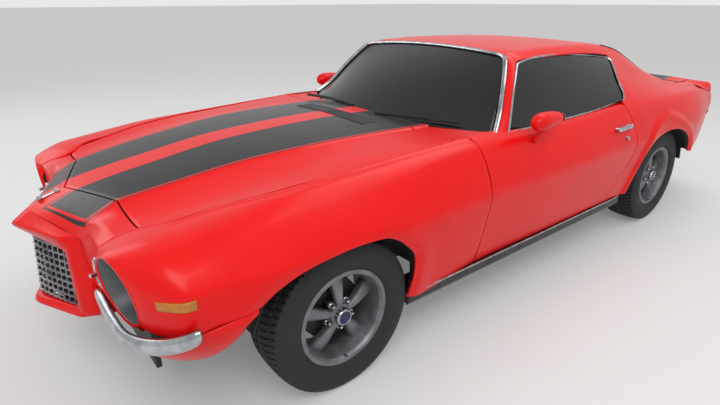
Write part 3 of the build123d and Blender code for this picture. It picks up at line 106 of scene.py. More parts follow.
# y, then height on the centre, step x and height, valley x and height, edge x and height
HOOD = [
    (HOOD_TIP, 806, 322, 800, 480, 770, 600, 782),
    (F - 628, 831, 336, 822, 520, 786, 619, 801),
    (F - 400, 868, 364, 858, 560, 826, 651, 836),
    (F - 130, 907, 388, 892, 600, 858, 709, 866),
    (F + 70, 921, 416, 908, 610, 880, 724, 877),
    (F + 430, 932, 440, 915, 620, 899, 731, 896),
    (HOOD_END, 930, 460, 912, 640, 905, 744, 909),
]
# x, then y and height of: hood edge, brow, lip
NOSE = [
    (0, F - 755, 806, F - 822, 777, F - 889, 748),
    (150, F - 700, 812, F - 788, 776, F - 834, 732),
    (240, F - 676, 815, F - 764, 773, F - 799, 719),
    (300, F - 654, 818, F - 750, 770, F - 775, 706),
    (345, F - 640, 818, F - 736, 771, F - 762, 716),
    (400, F - 637, 806, F - 716, 782, F - 751, 742),
    (553, F - 637, 793, F - 700, 780, F - 751, 762),
]
ROOF = [  # y, centre height, ridge x and height, rail x and height
    (F + 1288, 1245, 530, 1224, 604, 1192),
    (F + 1318, 1249, 536, 1231, 610, 1198),
    (F + 1540, 1264, 548, 1245, 620, 1206),
    (R - 900, 1265, 548, 1246, 618, 1204),
    (R - 600, 1256, 542, 1236, 610, 1186),
    (R - 420, 1238, 530, 1222, 598, 1162),
]
DECK = [  # y, side x and height, centre height
    (R + 300, 516, 903, 908), (R + 366, 524, 898, 905), (R + 480, 556, 897, 905),
    (R + 600, 597, 890, 900), (R + 860, 603, 873, 885), (R + 1034, 603, 857, 868),
]
# wheel openings and seams: y from the axle, or y, and z
ARCH_FRONT = [(-391, 578), (-330, 618), (-262, 645), (-199, 660), (-105, 671), (-13, 676), (80, 672),
              (151, 662), (210, 632), (261, 590), (318, 525), (335, 440), (318, 290)]
ARCH_REAR = [(-405, 290), (-372, 470), (-330, 575), (-262, 650), (-170, 679), (-64, 686), (50, 675),
             (138, 648), (208, 614), (262, 575), (342, 430), (360, 290)]
DOOR_REAR = [(588, 305), (625, 380), (661, 436), (725, 520), (753, 595), (764, 661), (752, 740), (722, 850),
             (704, 925)]
GLASS_REAR = [(704, 925), (735, 930), (768, 952), (792, 1022), (822, 1090), (853, 1146), (868, 1180)]
# the wheel's barrel: place along its axis and radius
RIM = [(869, 190), (869, 206), (867, 208), (862, 209), (858, 207), (858, 199), (856, 194), (850, 190), (846, 188),
       (838, 186), (815, 180), (790, 177), (740, 176), (700, 182), (682, 196), (676, 208), (674, 206), (676, 196),
       (690, 180), (740, 171), (790, 171), (815, 174), (838, 178), (854, 182), (860, 184), (862, 187), (868, 189),
       (869, 190)]
# studio: lamps by place, what they face, size in metres and watts; the camera by place and by its
# turns round, down and roll in degrees, as fitted to the photograph
SOFTBOXES = [("key_softbox", (4.5, -3.5, 5.5), (0, -0.3, 0.6), (5, 3), 190),
             ("fill_softbox", (-5.5, -4.0, 4.0), (0, 0, 0.6), (4, 3), 60),
             ("top_softbox", (0.5, 2.5, 6.0), (0, 0, 0.8), (6, 3), 110)]
CAMERA_PLACE, CAMERA_TURNS = (2.1994, -2.4273, 1.4940), (51.437, 22.055, 0.16)
FLOOR_REACH = 150000.0  # mm
# glass edges: x, y and z
PILLAR_GLASS = [(761, -461, 890), (706, -362, 970), (650, -278, 1076), (595, -203, 1163), (552, -150, 1218)]
PILLAR_SIDE = [(786, -384, 892), (745, -322, 972), (705, -264, 1058), (665, -202, 1133), (622, -138, 1190)]
GLASS_TOP = [(622, -138, 1187), (615, -24, 1203), (610, 192, 1208), (605, 328, 1204), (600, 560, 1184),
             (595, 845, 1150)]
# the grille shell's lines from its root round the lip and into the opening: x, y and z down the car's
# left half, from the middle of the top to the middle of the bottom
SHELL = [
    [(0, -2330, 748), (298, -2215, 706), (300, -2190, 690), (300, -2190, 560),
     (300, -2190, 380), (292, -2190, 362), (262, -2200, 352), (0, -2322, 346)],
    [(0, -2333, 747), (296, -2219, 705), (300, -2196, 690), (300, -2198, 560),
     (300, -2198, 380), (291, -2198, 362), (262, -2206, 350), (0, -2328, 345)],
    [(0, -2388, 707), (250, -2272, 704), (288, -2230, 682), (291, -2226, 560),
     (291, -2226, 384), (282, -2226, 366), (252, -2262, 356), (0, -2388, 352)],
    [(0, -2380, 690), (246, -2275, 690), (272, -2252, 670), (272, -2252, 560),
     (272, -2252, 396), (266, -2254, 378), (246, -2270, 366), (0, -2390, 366)],
    [(0, -2349, 657), (228, -2268, 641), (240, -2262, 630), (240, -2262, 560),
     (240, -2262, 408), (236, -2263, 400), (226, -2268, 396), (0, -2374, 384)],
    [(0, -2316, 655), (226, -2230, 640), (238, -2226, 630), (238, -2226, 560),
     (238, -2226, 408), (234, -2227, 400), (224, -2230, 396), (0, -2330, 384)],
]
FRONT_BUMPER = [(432, -2203, 540), (540, -2204, 534), (650, -2202, 524), (745, -2191, 515), (812, -2162, 518),
                (872, -2120, 531), (920, -2070, 552), (947, -2026, 574)]
REAR_BUMPER = [(-764, 2300, 518), (-764, 2330, 516), (-740, 2352, 514), (-690, 2360, 514), (-400, 2366, 514),
               (0, 2368, 514), (400, 2366, 514), (690, 2360, 514), (740, 2352, 514), (764, 2330, 516),
               (764, 2300, 518)]
VALANCE_TOP = [(296, -2200, 512), (560, -2200, 514), (760, -2194, 516), (830, -2168, 520), (878, -2120, 528),
               (905, -2060, 540), (925, -1990, 556), (936, -1836, 577)]
VALANCE_FOOT = [(296, -2200, 372), (420, -2180, 373), (600, -2145, 378), (720, -2098, 383), (790, -2050, 388),
                (850, -1990, 410), (895, -1930, 455), (925, -1848, 545)]


# ---- shapes ------------------------------------------------------------------------------------

def smooth_rows(table, at):
    """Each column of a section table at new positions: a cubic whose slope at a section is that of
    the parabola through it and its two neighbours."""
    t = np.asarray(table, float)
    x, v = t[:, 0], t[:, 1:]
    h = np.diff(x)[:, None]
    d = np.diff(v, axis=0) / h
    m = np.vstack([d[:1], (h[1:] * d[:-1] + h[:-1] * d[1:]) / (h[1:] + h[:-1]), d[-1:]])
    at = np.clip(at, x[0], x[-1])
    i = np.clip(np.searchsorted(x, at, side="right") - 1, 0, len(x) - 2)
    s, w = ((at - x[i]) / (x[i + 1] - x[i]))[:, None], h[i]
    return (v[i] * (1 + 2 * s) * (1 - s) ** 2 + m[i] * w * s * (1 - s) ** 2
            + v[i + 1] * s * s * (3 - 2 * s) + m[i + 1] * w * s * s * (s - 1))


def curve_through(points, count):
    """The smooth line through a few points, at evenly spaced places along it."""
    p = np.asarray(points, float)
    along = np.r_[0, np.cumsum(np.linalg.norm(np.diff(p, axis=0), axis=1))]
    fine = smooth_rows(np.column_stack([along, p]), np.linspace(0, along[-1], 40 * len(p)))
    length = np.r_[0, np.cumsum(np.linalg.norm(np.diff(fine, axis=0), axis=1))]
    at = np.linspace(0, length[-1], count)
    return np.column_stack([np.interp(at, length, fine[:, k]) for k in range(p.shape[1])])


def soften(p, passes, axis=0):
    """Rounds a grid along one axis: each point moves to a quarter, half, quarter mean, ends kept."""
    p = np.moveaxis(np.array(p, float), axis, 0)
    for _ in range(passes):
        p[1:-1] = p[:-2] / 4 + p[1:-1] / 2 + p[2:] / 4
    return np.moveaxis(p, 0, axis)


def deck_height(x, y):
    """Height of the trunk lid: a parabola across, between the side and centre heights of DECK."""
    rows = smooth_rows(DECK, np.ravel(y)).reshape(*np.shape(y), 3)
    return rows[..., 1] + (rows[..., 2] - rows[..., 1]) * (1 - np.clip(np.abs(x) / rows[..., 0], 0, 1) ** 2)


def tail_height(x, y):
    """Height of the quarter's top near the tail: straight between its lines at two places."""
    a = np.interp(x, (606, 699, 787), (873, 868, 836))
    b = np.interp(x, (608, 689, 769), (848, 832, 796))
    w = np.clip((y - R - 860) / 189, 0, 1)
    return a + (b - a) * w


def ease(x):
    """From 0 to 1 with no slope at either end."""
    x = np.clip(x, 0, 1)
    return x * x * (3 - 2 * x)


def side_surface(table, bulges, per=20, passes=9):
    """A body side as a dense grid. Each section's spans are parabolas that stand a bulge off their
    chords; sections follow each other by smooth_rows, and both ways are softened."""
    y = np.arange(table[0][0], table[-1][0] + 4.9, 5.0)
    y[-1] = table[-1][0]
    rows = smooth_rows(table, y).reshape(len(y), -1, 2)
    rows[..., 0] = HALF - rows[..., 0]
    s = np.linspace(0, 1, per + 1)[:-1][None, :, None]
    spans = []
    for j, bulge in enumerate(bulges):
        a, b = rows[:, j:j + 1], rows[:, j + 1:j + 2]
        d = b - a
        out = np.stack([d[..., 1], -d[..., 0]], -1) / np.linalg.norm(d, axis=-1, keepdims=True)
        spans.append(a + d * s + out * bulge * 4 * s * (1 - s))
    p = np.concatenate([*spans, rows[:, -1:]], axis=1)
    t = np.arange(p.shape[1]) / per
    soft = ease((t - 1.25) / 0.4)[None, :, None]
    p = soften(p, 2, axis=1) * (1 - soft) + soften(p, passes, axis=1) * soft
    p = soften(p, 8, axis=0)
    return {"y": y, "per": per, "xz": p}


def on_side(side, y, t):
    """Points of a body side at places y and t, t counting its section's spans from the sill."""
    yy, p = side["y"], side["xz"]
    a = np.clip(np.interp(y, yy, np.arange(len(yy))), 0, len(yy) - 1.001)
    b = np.clip(np.asarray(t) * side["per"], 0, p.shape[1] - 1.001)
    i, j = a.astype(int), b.astype(int)
    u, v = (a - i)[..., None], (b - j)[..., None]
    xz = ((p[i, j] * (1 - v) + p[i, j + 1] * v) * (1 - u) + (p[i + 1, j] * (1 - v) + p[i + 1, j + 1] * v) * u)
    return np.stack([xz[..., 0], np.broadcast_to(y, xz.shape[:-1]), xz[..., 1]], -1)


def t_at(side, y, z):
    """The place t at which a body side's section has height z."""
    yy, p = side["y"], side["xz"][..., 1]
    i = np.clip(np.round(np.interp(y, yy, np.arange(len(yy)))).astype(int), 0, len(yy) - 1)
    rows = np.maximum.accumulate(p[i], axis=1)
    j = np.clip((rows < np.asarray(z)[:, None]).sum(1) - 1, 0, p.shape[1] - 2)
    k = np.arange(len(i))
    span = np.maximum(rows[k, j + 1] - rows[k, j], 1e-6)
    return (j + np.clip((z - rows[k, j]) / span, 0, 1)) / side["per"]


def nearest(points, line):
    """Distance of each point of a grid to a line of points."""
    flat = points.reshape(-1, points.shape[-1])
    d = np.full(len(flat), 1e9)
    for point in line:
        d = np.minimum(d, ((flat - point) ** 2).sum(1))
    return np.sqrt(d).reshape(points.shape[:-1])


def weld(grids):
    """One list of points and faces for several grids; points in one place are made one."""
    points, faces, start = [], [], 0
    for g in grids:
        n, m = g.shape[:2]
        at = np.arange(n * m).reshape(n, m) + start
        faces.append(np.stack([at[:-1, :-1], at[1:, :-1], at[1:, 1:], at[:-1, 1:]], -1).reshape(-1, 4))
        points.append(g.reshape(-1, 3))
        start += n * m
    points, faces = np.concatenate(points), np.concatenate(faces)
    _, first, same = np.unique(np.round(points, 2), axis=0, return_index=True, return_inverse=True)
    faces = same.reshape(-1)[faces]
    return points[first], faces


def turned_out(points, faces, inside):
    """Faces turned so that most point away from a place inside."""
    a, b, c, d = (points[faces[:, k]] for k in range(4))
    n = np.cross(c - a, d - b)
    side = (n * ((a + b + c + d) / 4 - np.asarray(inside, float))).sum()
    return faces if side > 0 else faces[:, ::-1]


def piece(name, grids, body, materials, inside, wall=0.0, bevel=0.0, picks=None, attributes=None, mirror=False,
          smooth_angle=38, replaces=()):
    """A mesh object from one or more grids of points in mm, riding on a body. Grids are welded into
    one surface, or stay apart where picks gives each one's material index. Faces turn away from the
    place inside; corners of a face that fall together become one, and a face with under three goes.
    A wall thickens the surface inwards, its inner side in the second material if there is one, a
    bevel breaks its edges, and attributes are functions of the points."""
    grids = [np.array(g, float) for g in grids]
    if mirror:
        grids = [g * (-1, 1, 1) for g in grids]
        inside = (-inside[0], inside[1], inside[2])
    groups = [[g] for g in grids] if picks else [grids]
    points, faces, index = [], [], []
    start = 0
    for group, k in zip(groups, picks or [0]):
        p, f = weld(group)
        faces.append(turned_out(p, f, inside) + start)
        points.append(p)
        index.append(np.full(len(f), k))
        start += len(p)
    points, faces, index = np.concatenate(points), np.concatenate(faces), np.concatenate(index)
    new = np.stack([~(faces[:, :k] == faces[:, k:k + 1]).any(1) for k in range(4)], 1)
    whole = new.sum(1) > 2
    corners, sizes = faces[whole][new[whole]], new[whole].sum(1)
    mesh = bpy.data.meshes.new(name)
    mesh.vertices.add(len(points))
    mesh.vertices.foreach_set("co", np.asarray(points * MM, np.float32).ravel())
    mesh.loops.add(len(corners))
    mesh.loops.foreach_set("vertex_index", corners.astype(np.int32))
    mesh.polygons.add(len(sizes))
    mesh.polygons.foreach_set("loop_start", (np.cumsum(sizes) - sizes).astype(np.int32))
    mesh.polygons.foreach_set("material_index", index[whole].astype(np.int32))
    mesh.update(calc_edges=True)
    for key, rule in (attributes or {}).items():
        layer = mesh.attributes.new(key, "FLOAT", "POINT")
        layer.data.foreach_set("value", np.asarray(rule(points), np.float32))
    mesh.validate()
    mesh.shade_smooth()
    mesh.set_sharp_from_angle(angle=math.radians(smooth_angle))
    o = bpy.data.objects.new(name, mesh)
    bpy.context.scene.collection.objects.link(o)
    materials = [MATERIALS[key] for key in materials.split()]
    for m in materials:
        mesh.materials.append(m)
    if wall:
        s = o.modifiers.new("wall", "SOLIDIFY")
        s.thickness, s.offset, s.use_even_offset = wall * MM, -1.0, False
        s.material_offset, s.material_offset_rim = len(materials) - 1, 0
    if bevel:
        b = o.modifiers.new("broken edges", "BEVEL")
        b.width, b.segments, b.limit_method, b.angle_limit = bevel * MM, 2, "ANGLE", math.radians(55)
        b.harden_normals = False
    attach(o, body)
    if replaces:
        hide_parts(*replaces)
    return o


def between(a, b, rows, power=1):
    """A grid of straight lines, rows points each, from the points of line a to those of line b; a
    power over 1 brings the points closer together near a."""
    v = np.linspace(0, 1, rows)[None, :, None] ** power
    return a[:, None] * (1 - v) + b[:, None] * v


def broken_line(points, counts):
    """Straight runs between corners with a set number of points on each, corners kept."""
    p = np.asarray(points, float)
    runs = [p[i] + (p[i + 1] - p[i]) * np.linspace(0, 1, n + 1)[:-1, None] for i, n in enumerate(counts)]
    return np.concatenate([*runs, p[-1:]])


def rounded(w, power_cos, power_sin):
    """A superellipse: the cosine and sine of an angle, each raised to a power with its sign kept."""
    c, s = np.cos(w), np.sin(w)
    return np.sign(c) * np.abs(c) ** power_cos, np.sign(s) * np.abs(s) ** power_sin


def marker_lens(side, y_ends, z_ends, counts, shape=None):
    """A lens on a body side: a rectangle in y and z laid on the surface, standing 0.5 mm off it at its
    edge and rising another 5 mm over the 5 mm inside the edge."""
    y, z = np.meshgrid(np.linspace(*y_ends, counts[0]), np.linspace(*z_ends, counts[1]), indexing="ij")
    p = on_side(side, y, t_at(side, y.ravel(), z.ravel()).reshape(y.shape))
    p = shape(p) if shape else p
    rim = np.minimum(np.minimum(y - y_ends[0], y_ends[1] - y), np.minimum(z - z_ends[0], z_ends[1] - z))
    p[..., 0] += 0.5 + 5 * ease(rim / 5)
    return p


def tube(path, radius, sides, flat=1.0):
    """A round bar along a path: circles square to the path, each turned with it, and a point at either
    end; flat squashes or widens it."""
    p = np.asarray(path, float)
    r = np.broadcast_to(np.asarray(radius, float), (len(p),))
    t = np.gradient(p, axis=0)
    t /= np.linalg.norm(t, axis=1, keepdims=True)
    up = np.where(np.abs(t[:, 2:3]) > 0.9, (1.0, 0, 0), (0, 0, 1.0))
    a = np.cross(t, up)
    a /= np.linalg.norm(a, axis=1, keepdims=True)
    b = np.cross(a, t)
    w = np.linspace(0, 2 * math.pi, sides + 1)
    ring = (p[:, None] + r[:, None, None] * (np.cos(w)[None, :, None] * a[:, None] * flat
                                            + np.sin(w)[None, :, None] * b[:, None]))
    ends = [np.broadcast_to(p[k], ring[0].shape)[None] for k in (0, -1)]
    return np.concatenate([ends[0], ring, ends[1]])


def turned(profile, count, centre=(0, 0, 0), axis="x"):
    """A profile of (place along the axis, radius) turned all the way round that axis."""
    p = np.asarray(profile, float)
    w = np.linspace(0, 2 * math.pi, count + 1)
    a = np.broadcast_to(p[None, :, 0], (len(w), len(p)))
    b, c = np.cos(w)[:, None] * p[None, :, 1], np.sin(w)[:, None] * p[None, :, 1]
    return np.stack((a, b, c) if axis == "x" else (b, a, c), -1) + centre


# ---- materials ---------------------------------------------------------------------------------

def linear(hexa):
    """An sRGB hex value as linear colour."""
    c = [int(hexa[i:i + 2], 16) / 255 for i in (0, 2, 4)]
    return (*[x / 12.92 if x <= 0.04045 else ((x + 0.055) / 1.055) ** 2.4 for x in c], 1.0)


def empty_tree(data):
    """A material's or world's node tree with nothing in it."""
    data.use_nodes = True
    data.node_tree.nodes.clear()
    return data.node_tree


def add(tree, kind, inputs=None, **settings):
    """Adds one shader node with its settings, socket values and links."""
    n = tree.nodes.new(kind)
    for key, value in settings.items():
        setattr(n, key, value)
    for key, value in (inputs or {}).items():
        if isinstance(value, bpy.types.NodeSocket):
            tree.links.new(value, n.inputs[key])
        else:
            n.inputs[key].default_value = value
    return n


def new_material(name, grain=400.0, bump=0.05, depth=0.0004, dark="000000", light="FFFFFF", spread=(0.35, 0.65),
                 rough=None, stretch=(1, 1, 1), **shader):
    """A principled material whose colour wanders between two hex values with a noise of a real size,
    whose roughness may wander too, and whose surface has that noise as relief."""
    m = bpy.data.materials.new(name)
    t = empty_tree(m)
    where = add(t, "ShaderNodeTexCoord").outputs["Object"]
    placed = add(t, "ShaderNodeMapping", {"Vector": where, "Scale": stretch}).outputs[0]
    noise = add(t, "ShaderNodeTexNoise", {"Vector": placed, "Scale": grain, "Detail": 4.0,
                                          "Roughness": 0.6}).outputs[0]
    broad = add(t, "ShaderNodeTexNoise", {"Vector": placed, "Scale": grain / 40, "Detail": 3.0}).outputs[0]
    ramp = add(t, "ShaderNodeMapRange", {"Value": broad, "From Min": spread[0], "From Max": spread[1]}).outputs[0]
    colour = add(t, "ShaderNodeMix", {0: ramp, 6: linear(dark), 7: linear(light)}, data_type="RGBA").outputs[2]
    relief = add(t, "ShaderNodeBump", {"Height": noise, "Strength": bump, "Distance": depth}).outputs[0]
    inputs = {"Base Color": colour, "Normal": relief}
    if rough:
        inputs["Roughness"] = add(t, "ShaderNodeMapRange", {"Value": broad, "From Min": 0.3, "From Max": 0.7,
                                                           "To Min": rough[0], "To Max": rough[1]}).outputs[0]
    inputs.update({k.replace("_", " "): v for k, v in shader.items()})
    p = add(t, "ShaderNodeBsdfPrincipled", inputs)
    add(t, "ShaderNodeOutputMaterial", {"Surface": p.outputs[0]})
    return m


def striped_paint(name, red, black, by_place=False):
    """Two-pack enamel: glossy, with a faint orange-peel ripple about 2 mm long, and satin black bands
    with fine lengthwise scratches. The bands follow the two edge distances kept on the panel, or on
    the flat tail panels the distance from the centre line."""
    m = bpy.data.materials.new(name)
    t = empty_tree(m)
    place = add(t, "ShaderNodeTexCoord").outputs["Object"]

    def math_node(operation, a, b=0.0):
        return add(t, "ShaderNodeMath", {0: a, 1: b}, operation=operation).outputs[0]

    if by_place:
        xyz = add(t, "ShaderNodeSeparateXYZ", {0: place})
        across = math_node("MULTIPLY", math_node("ABSOLUTE", xyz.outputs[0]), 1000.0)
        edge = add(t, "ShaderNodeMapRange", {"Value": xyz.outputs[1], "From Min": 1.6, "From Max": 2.34,
                                             "To Min": 446.0, "To Max": 472.0}).outputs[0]
        outer = math_node("SUBTRACT", across, edge)
        inner = math_node("SUBTRACT", across, 88.0)
    else:
        outer = add(t, "ShaderNodeAttribute", attribute_name="stripe_out").outputs["Fac"]
        inner = add(t, "ShaderNodeAttribute", attribute_name="stripe_in").outputs["Fac"]
    band = math_node("MULTIPLY", math_node("LESS_THAN", outer, -19.0), math_node("GREATER_THAN", inner, 0.0))
    line = math_node("MULTIPLY", math_node("GREATER_THAN", outer, -10.0), math_node("LESS_THAN", outer, -2.0))
    dark = math_node("MAXIMUM", band, line)
    tint = add(t, "ShaderNodeTexNoise", {"Vector": place, "Scale": 3.0, "Detail": 4.0}).outputs[0]
    reds = add(t, "ShaderNodeMix", {0: tint, 6: linear(red[0]), 7: linear(red[1])}, data_type="RGBA").outputs[2]
    blacks = add(t, "ShaderNodeMix", {0: tint, 6: linear(black[0]), 7: linear(black[1])}, data_type="RGBA").outputs[2]
    colour = add(t, "ShaderNodeMix", {0: dark, 6: reds, 7: blacks}, data_type="RGBA").outputs[2]
    long = add(t, "ShaderNodeMapping", {"Vector": place, "Scale": (220.0, 9.0, 220.0)}).outputs[0]
    marks = add(t, "ShaderNodeTexNoise", {"Vector": long, "Scale": 1.0, "Detail": 6.0, "Roughness": 0.75}).outputs[0]
    worn = add(t, "ShaderNodeMapRange", {"Value": marks, "From Min": 0.35, "From Max": 0.75,
                                         "To Min": 0.2, "To Max": 0.42}).outputs[0]
    rough = add(t, "ShaderNodeMix", {0: dark, 2: 0.3, 3: worn}).outputs[0]
    peel = add(t, "ShaderNodeTexNoise", {"Vector": place, "Scale": 260.0, "Detail": 2.0}).outputs[0]
    relief = add(t, "ShaderNodeBump", {"Height": peel, "Strength": 0.04, "Distance": 0.0006}).outputs[0]
    p = add(t, "ShaderNodeBsdfPrincipled", {"Base Color": colour, "Roughness": rough, "Normal": relief,
                                            "Specular IOR Level": 0.2, "Coat Weight": 0.12, "Coat Roughness": 0.08})
    add(t, "ShaderNodeOutputMaterial", {"Surface": p.outputs[0]})
    return m


MATERIALS = {}
PLAIN_MATERIALS = {
    # underbody and inner panels: satin black, dusty, so the sheen comes and goes
    "inner": ("black_underbody_paint", dict(grain=300, bump=0.2, dark="0B0B0C", light="17171A", rough=(0.5, 0.75))),
    # vent and wipers: an even satin black
    "black": ("satin_black_paint", dict(grain=500, bump=0.08, dark="0E0E10", light="1B1C1F", rough=(0.35, 0.55))),
    # bright steel, faintly brushed by washing: mirror-like with soft streaks
    "chrome": ("chromed_steel", dict(grain=900, bump=0.02, depth=0.0002, dark="A3A6AB", light="C8CBCE",
                                     rough=(0.12, 0.24), Metallic=1.0)),
    # painted cast aluminium: soft grey sheen, slightly mottled
    "wheel": ("grey_wheel_paint", dict(grain=700, bump=0.12, depth=0.0003, dark="6F7174", light="85878A",
                                       rough=(0.42, 0.5), Metallic=0.7)),
    # rubber: matt dark grey with dust in the pores
    "rubber": ("tyre_rubber", dict(grain=500, bump=0.3, depth=0.0005, dark="17181A", light="262729",
                                   rough=(0.62, 0.85))),
    # forged and pressed chassis parts: dark, patchy, a little brown
    "steel": ("chassis_steel", dict(grain=350, bump=0.25, dark="222224", light="3A3937", rough=(0.45, 0.7),
                                    Metallic=0.5)),
    # exhaust and tank: dull warm metal, blotched by heat and salt
    "pipe": ("aluminised_steel_pipe", dict(grain=400, bump=0.15, dark="6E6B66", light="908D88",
                                           rough=(0.35, 0.55), Metallic=0.9)),
    # engine: orange-red paint over a coarse casting
    "iron": ("cast_iron_engine_paint", dict(grain=420, bump=0.5, depth=0.0008, dark="8E2A18", light="B03A22",
                                            rough=(0.5, 0.7))),
    # seats: black vinyl with a fine pebbled grain and a low sheen
    "vinyl": ("grained_seat_vinyl", dict(grain=650, bump=0.45, depth=0.0006, dark="131314", light="202022",
                                         rough=(0.42, 0.6))),
    # dashboard and steering wheel: moulded, finely textured plastic
    "plastic": ("moulded_dash_plastic", dict(grain=700, bump=0.4, depth=0.0005, dark="151516", light="232426",
                                             rough=(0.45, 0.62))),
    # sills: grey metal moulding, a dull shine
    "moulding": ("anodised_grey_moulding", dict(grain=600, bump=0.06, dark="3B3C3E", light="505153",
                                                rough=(0.3, 0.45), Metallic=0.8)),
    # grille bars: die-cast metal, brighter and darker from bar to bar
    "mesh": ("die_cast_grille_zinc", dict(grain=500, bump=0.15, dark="6F7175", light="A7A9AD", rough=(0.25, 0.4),
                                          Metallic=0.9)),
    # lamp bowls: silvered metal, its colour darkened to a mid grey as painted shade, so it reads dim behind the lens
    "bowl": ("shade_darkened_lamp_bowl", dict(grain=500, bump=0.03, dark="5C5F63", light="84878B", rough=(0.15, 0.25),
                                        Metallic=1.0)),
    # the sleeve round a headlamp: plain grey paint
    "bowl_grey": ("grey_lamp_bucket_paint", dict(grain=400, bump=0.04, dark="4E5052", light="626466",
                                                 rough=(0.35, 0.45))),
    # windows: grey tinted glass, dark from outside and mirror-like
    "glass": ("tinted_float_glass", dict(grain=40, bump=0.0, dark="3A3E42", light="454A4E", rough=(0.02, 0.04),
                                         Transmission_Weight=0.9, IOR=1.5)),
    # lamp lenses: clear, slightly rippled glass
    "lens": ("clear_lamp_glass", dict(grain=200, bump=0.05, dark="D5DADC", light="E8ECEE", rough=(0.03, 0.08),
                                      Transmission_Weight=0.9, IOR=1.5)),
    # front markers: cloudy amber plastic with a pebbled face
    "amber": ("amber_lens_acrylic", dict(grain=600, bump=0.2, depth=0.0008, dark="B0670F", light="C47A1C",
                                         rough=(0.2, 0.3), Coat_Weight=0.3)),
    # tail lamps and rear markers: deep red plastic, glossy
    "ruby": ("red_lens_acrylic", dict(grain=600, bump=0.2, depth=0.0008, dark="6E0508", light="9E0A0C",
                                      rough=(0.12, 0.22), Coat_Weight=0.5)),
    # wheel caps: smooth dark blue enamel
    "blue": ("blue_cap_enamel", dict(grain=400, bump=0.02, dark="0B1238", light="141D52", rough=(0.15, 0.2))),
    # brake drums behind the spokes: turned iron, brownish
    "cast_iron": ("turned_cast_iron", dict(grain=300, bump=0.2, dark="2A2724", light="413D39", rough=(0.4, 0.6),
                                           Metallic=0.6)),
}
NODE_MATERIALS = {
    "paint_tail": "deck_panel trunk_lid spoiler_centre",
    "red": "front_valance spoiler_ends mirror_left mirror_right rear_panel hood nose_panel roof_panel "
           "door_left door_right quarter_left quarter_right front_fender_left front_fender_right",
    "inner": "floor_pan inner_fenders",
    "steel": "control_arms driveshaft leaf_springs rear_axle subframe knuckle_left knuckle_right",
    "pipe": "exhaust fuel_tank",
    "iron": "engine",
    "plastic": "dashboard steering_wheel",
    "moulding": "rocker_panels",
    "vinyl": "seats",
    "chrome": "bumpers",
    "mesh": "grille",
    "glass": "fixed_glass door_glass_left door_glass_right",
    "lens": "lamps",
    "wheel": "rim_front_left rim_front_right rim_rear_left rim_rear_right",
    "rubber": "tyre_front_left tyre_front_right tyre_rear_left tyre_rear_right",
}


class CarColours(bpy.types.PropertyGroup):
    paint: bpy.props.FloatVectorProperty(name="Paint", description="Body colour, bright red enamel", subtype="COLOR",
                                         size=3, min=0, max=1, default=(0.807, 0.0044, 0.0044))
    stripe: bpy.props.FloatVectorProperty(name="Stripe", description="Colour of the hood and deck bands",
                                          subtype="COLOR", size=3, min=0, max=1, default=(0.0176, 0.0185, 0.0203))


class CarSizes(bpy.types.PropertyGroup):
    skin: bpy.props.FloatProperty(name="Panel thickness", description="Thickness of the outer panels", unit="LENGTH",
                                  default=0.009, min=0.002, max=0.02)
    gap: bpy.props.FloatProperty(name="Panel gap", description="Space between neighbouring panels", unit="LENGTH",
                                 default=0.006, min=0.002, max=0.012)
    stripe_inner: bpy.props.FloatProperty(name="Stripe inner edge", unit="LENGTH", default=0.076, min=0.02, max=0.2,
                                          description="Half of the red band between the stripes")
    tread_depth: bpy.props.FloatProperty(name="Tread depth", description="Depth of the tyre's grooves", unit="LENGTH",
                                         default=0.007, min=0.001, max=0.012)


class StudioSettings(bpy.types.PropertyGroup):
    floor: bpy.props.FloatVectorProperty(name="Floor", description="Colour of the floor", subtype="COLOR", size=3,
                                         min=0, max=1, default=(0.62, 0.62, 0.62))
    world: bpy.props.FloatProperty(name="Sky level", description="Strength of the soft light from all round",
                                   default=0.62, min=0, max=2)


def hexed(rgb, gain=1.0):
    """A linear colour property as an sRGB hex value, made lighter or darker by a gain."""
    c = [min(1.0, max(0.0, x * gain)) for x in rgb]
    s = [12.92 * x if x <= 0.0031308 else 1.055 * x ** (1 / 2.4) - 0.055 for x in c]
    return "".join(f"{round(x * 255):02X}" for x in s)


class CAR_OT_materials(bpy.types.Operator):
    """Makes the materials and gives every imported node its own"""
    bl_idname = "car.materials"
    bl_label = "Materials"

    def execute(self, context):
        c = context.scene.car_colours
        red = (hexed(c.paint, 0.93), hexed(c.paint, 1.06))
        black = (hexed(c.stripe, 0.8), hexed(c.stripe, 1.35))
        M = MATERIALS
        M["paint"] = striped_paint("red_enamel_striped", red, black)
        M["paint_tail"] = striped_paint("red_enamel_header_bands", red, black, by_place=True)
        # plain enamel: deep gloss, the orange-peel ripple breaks reflections a little
        M["red"] = new_material("red_enamel", grain=260, bump=0.03, depth=0.0006, dark=red[0], light=red[1],
                                spread=(0.1, 0.9), Roughness=0.3, Specular_IOR_Level=0.2, Coat_Weight=0.12,
                                Coat_Roughness=0.08)
        for key, (title, look) in PLAIN_MATERIALS.items():
            M[key] = new_material(title, **look)
        for key, names in NODE_MATERIALS.items():
            for name in names.split():
                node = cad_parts[name]
                node.data.materials.clear()
                node.data.materials.append(M[key])
        return {"FINISHED"}


SIDES = (("left", False), ("right", True))
FENDER_SIDE = side_surface(FENDER, FENDER_BULGES)
DOOR_SIDE = side_surface(DOOR, DOOR_BULGES)
QUARTER_SIDE = side_surface(QUARTER, QUARTER_BULGES)


def in_places(side, line):
    """A line given in y and z as places y and t of a body side."""
    return np.column_stack([line[:, 0], t_at(side, line[:, 0], line[:, 1])])


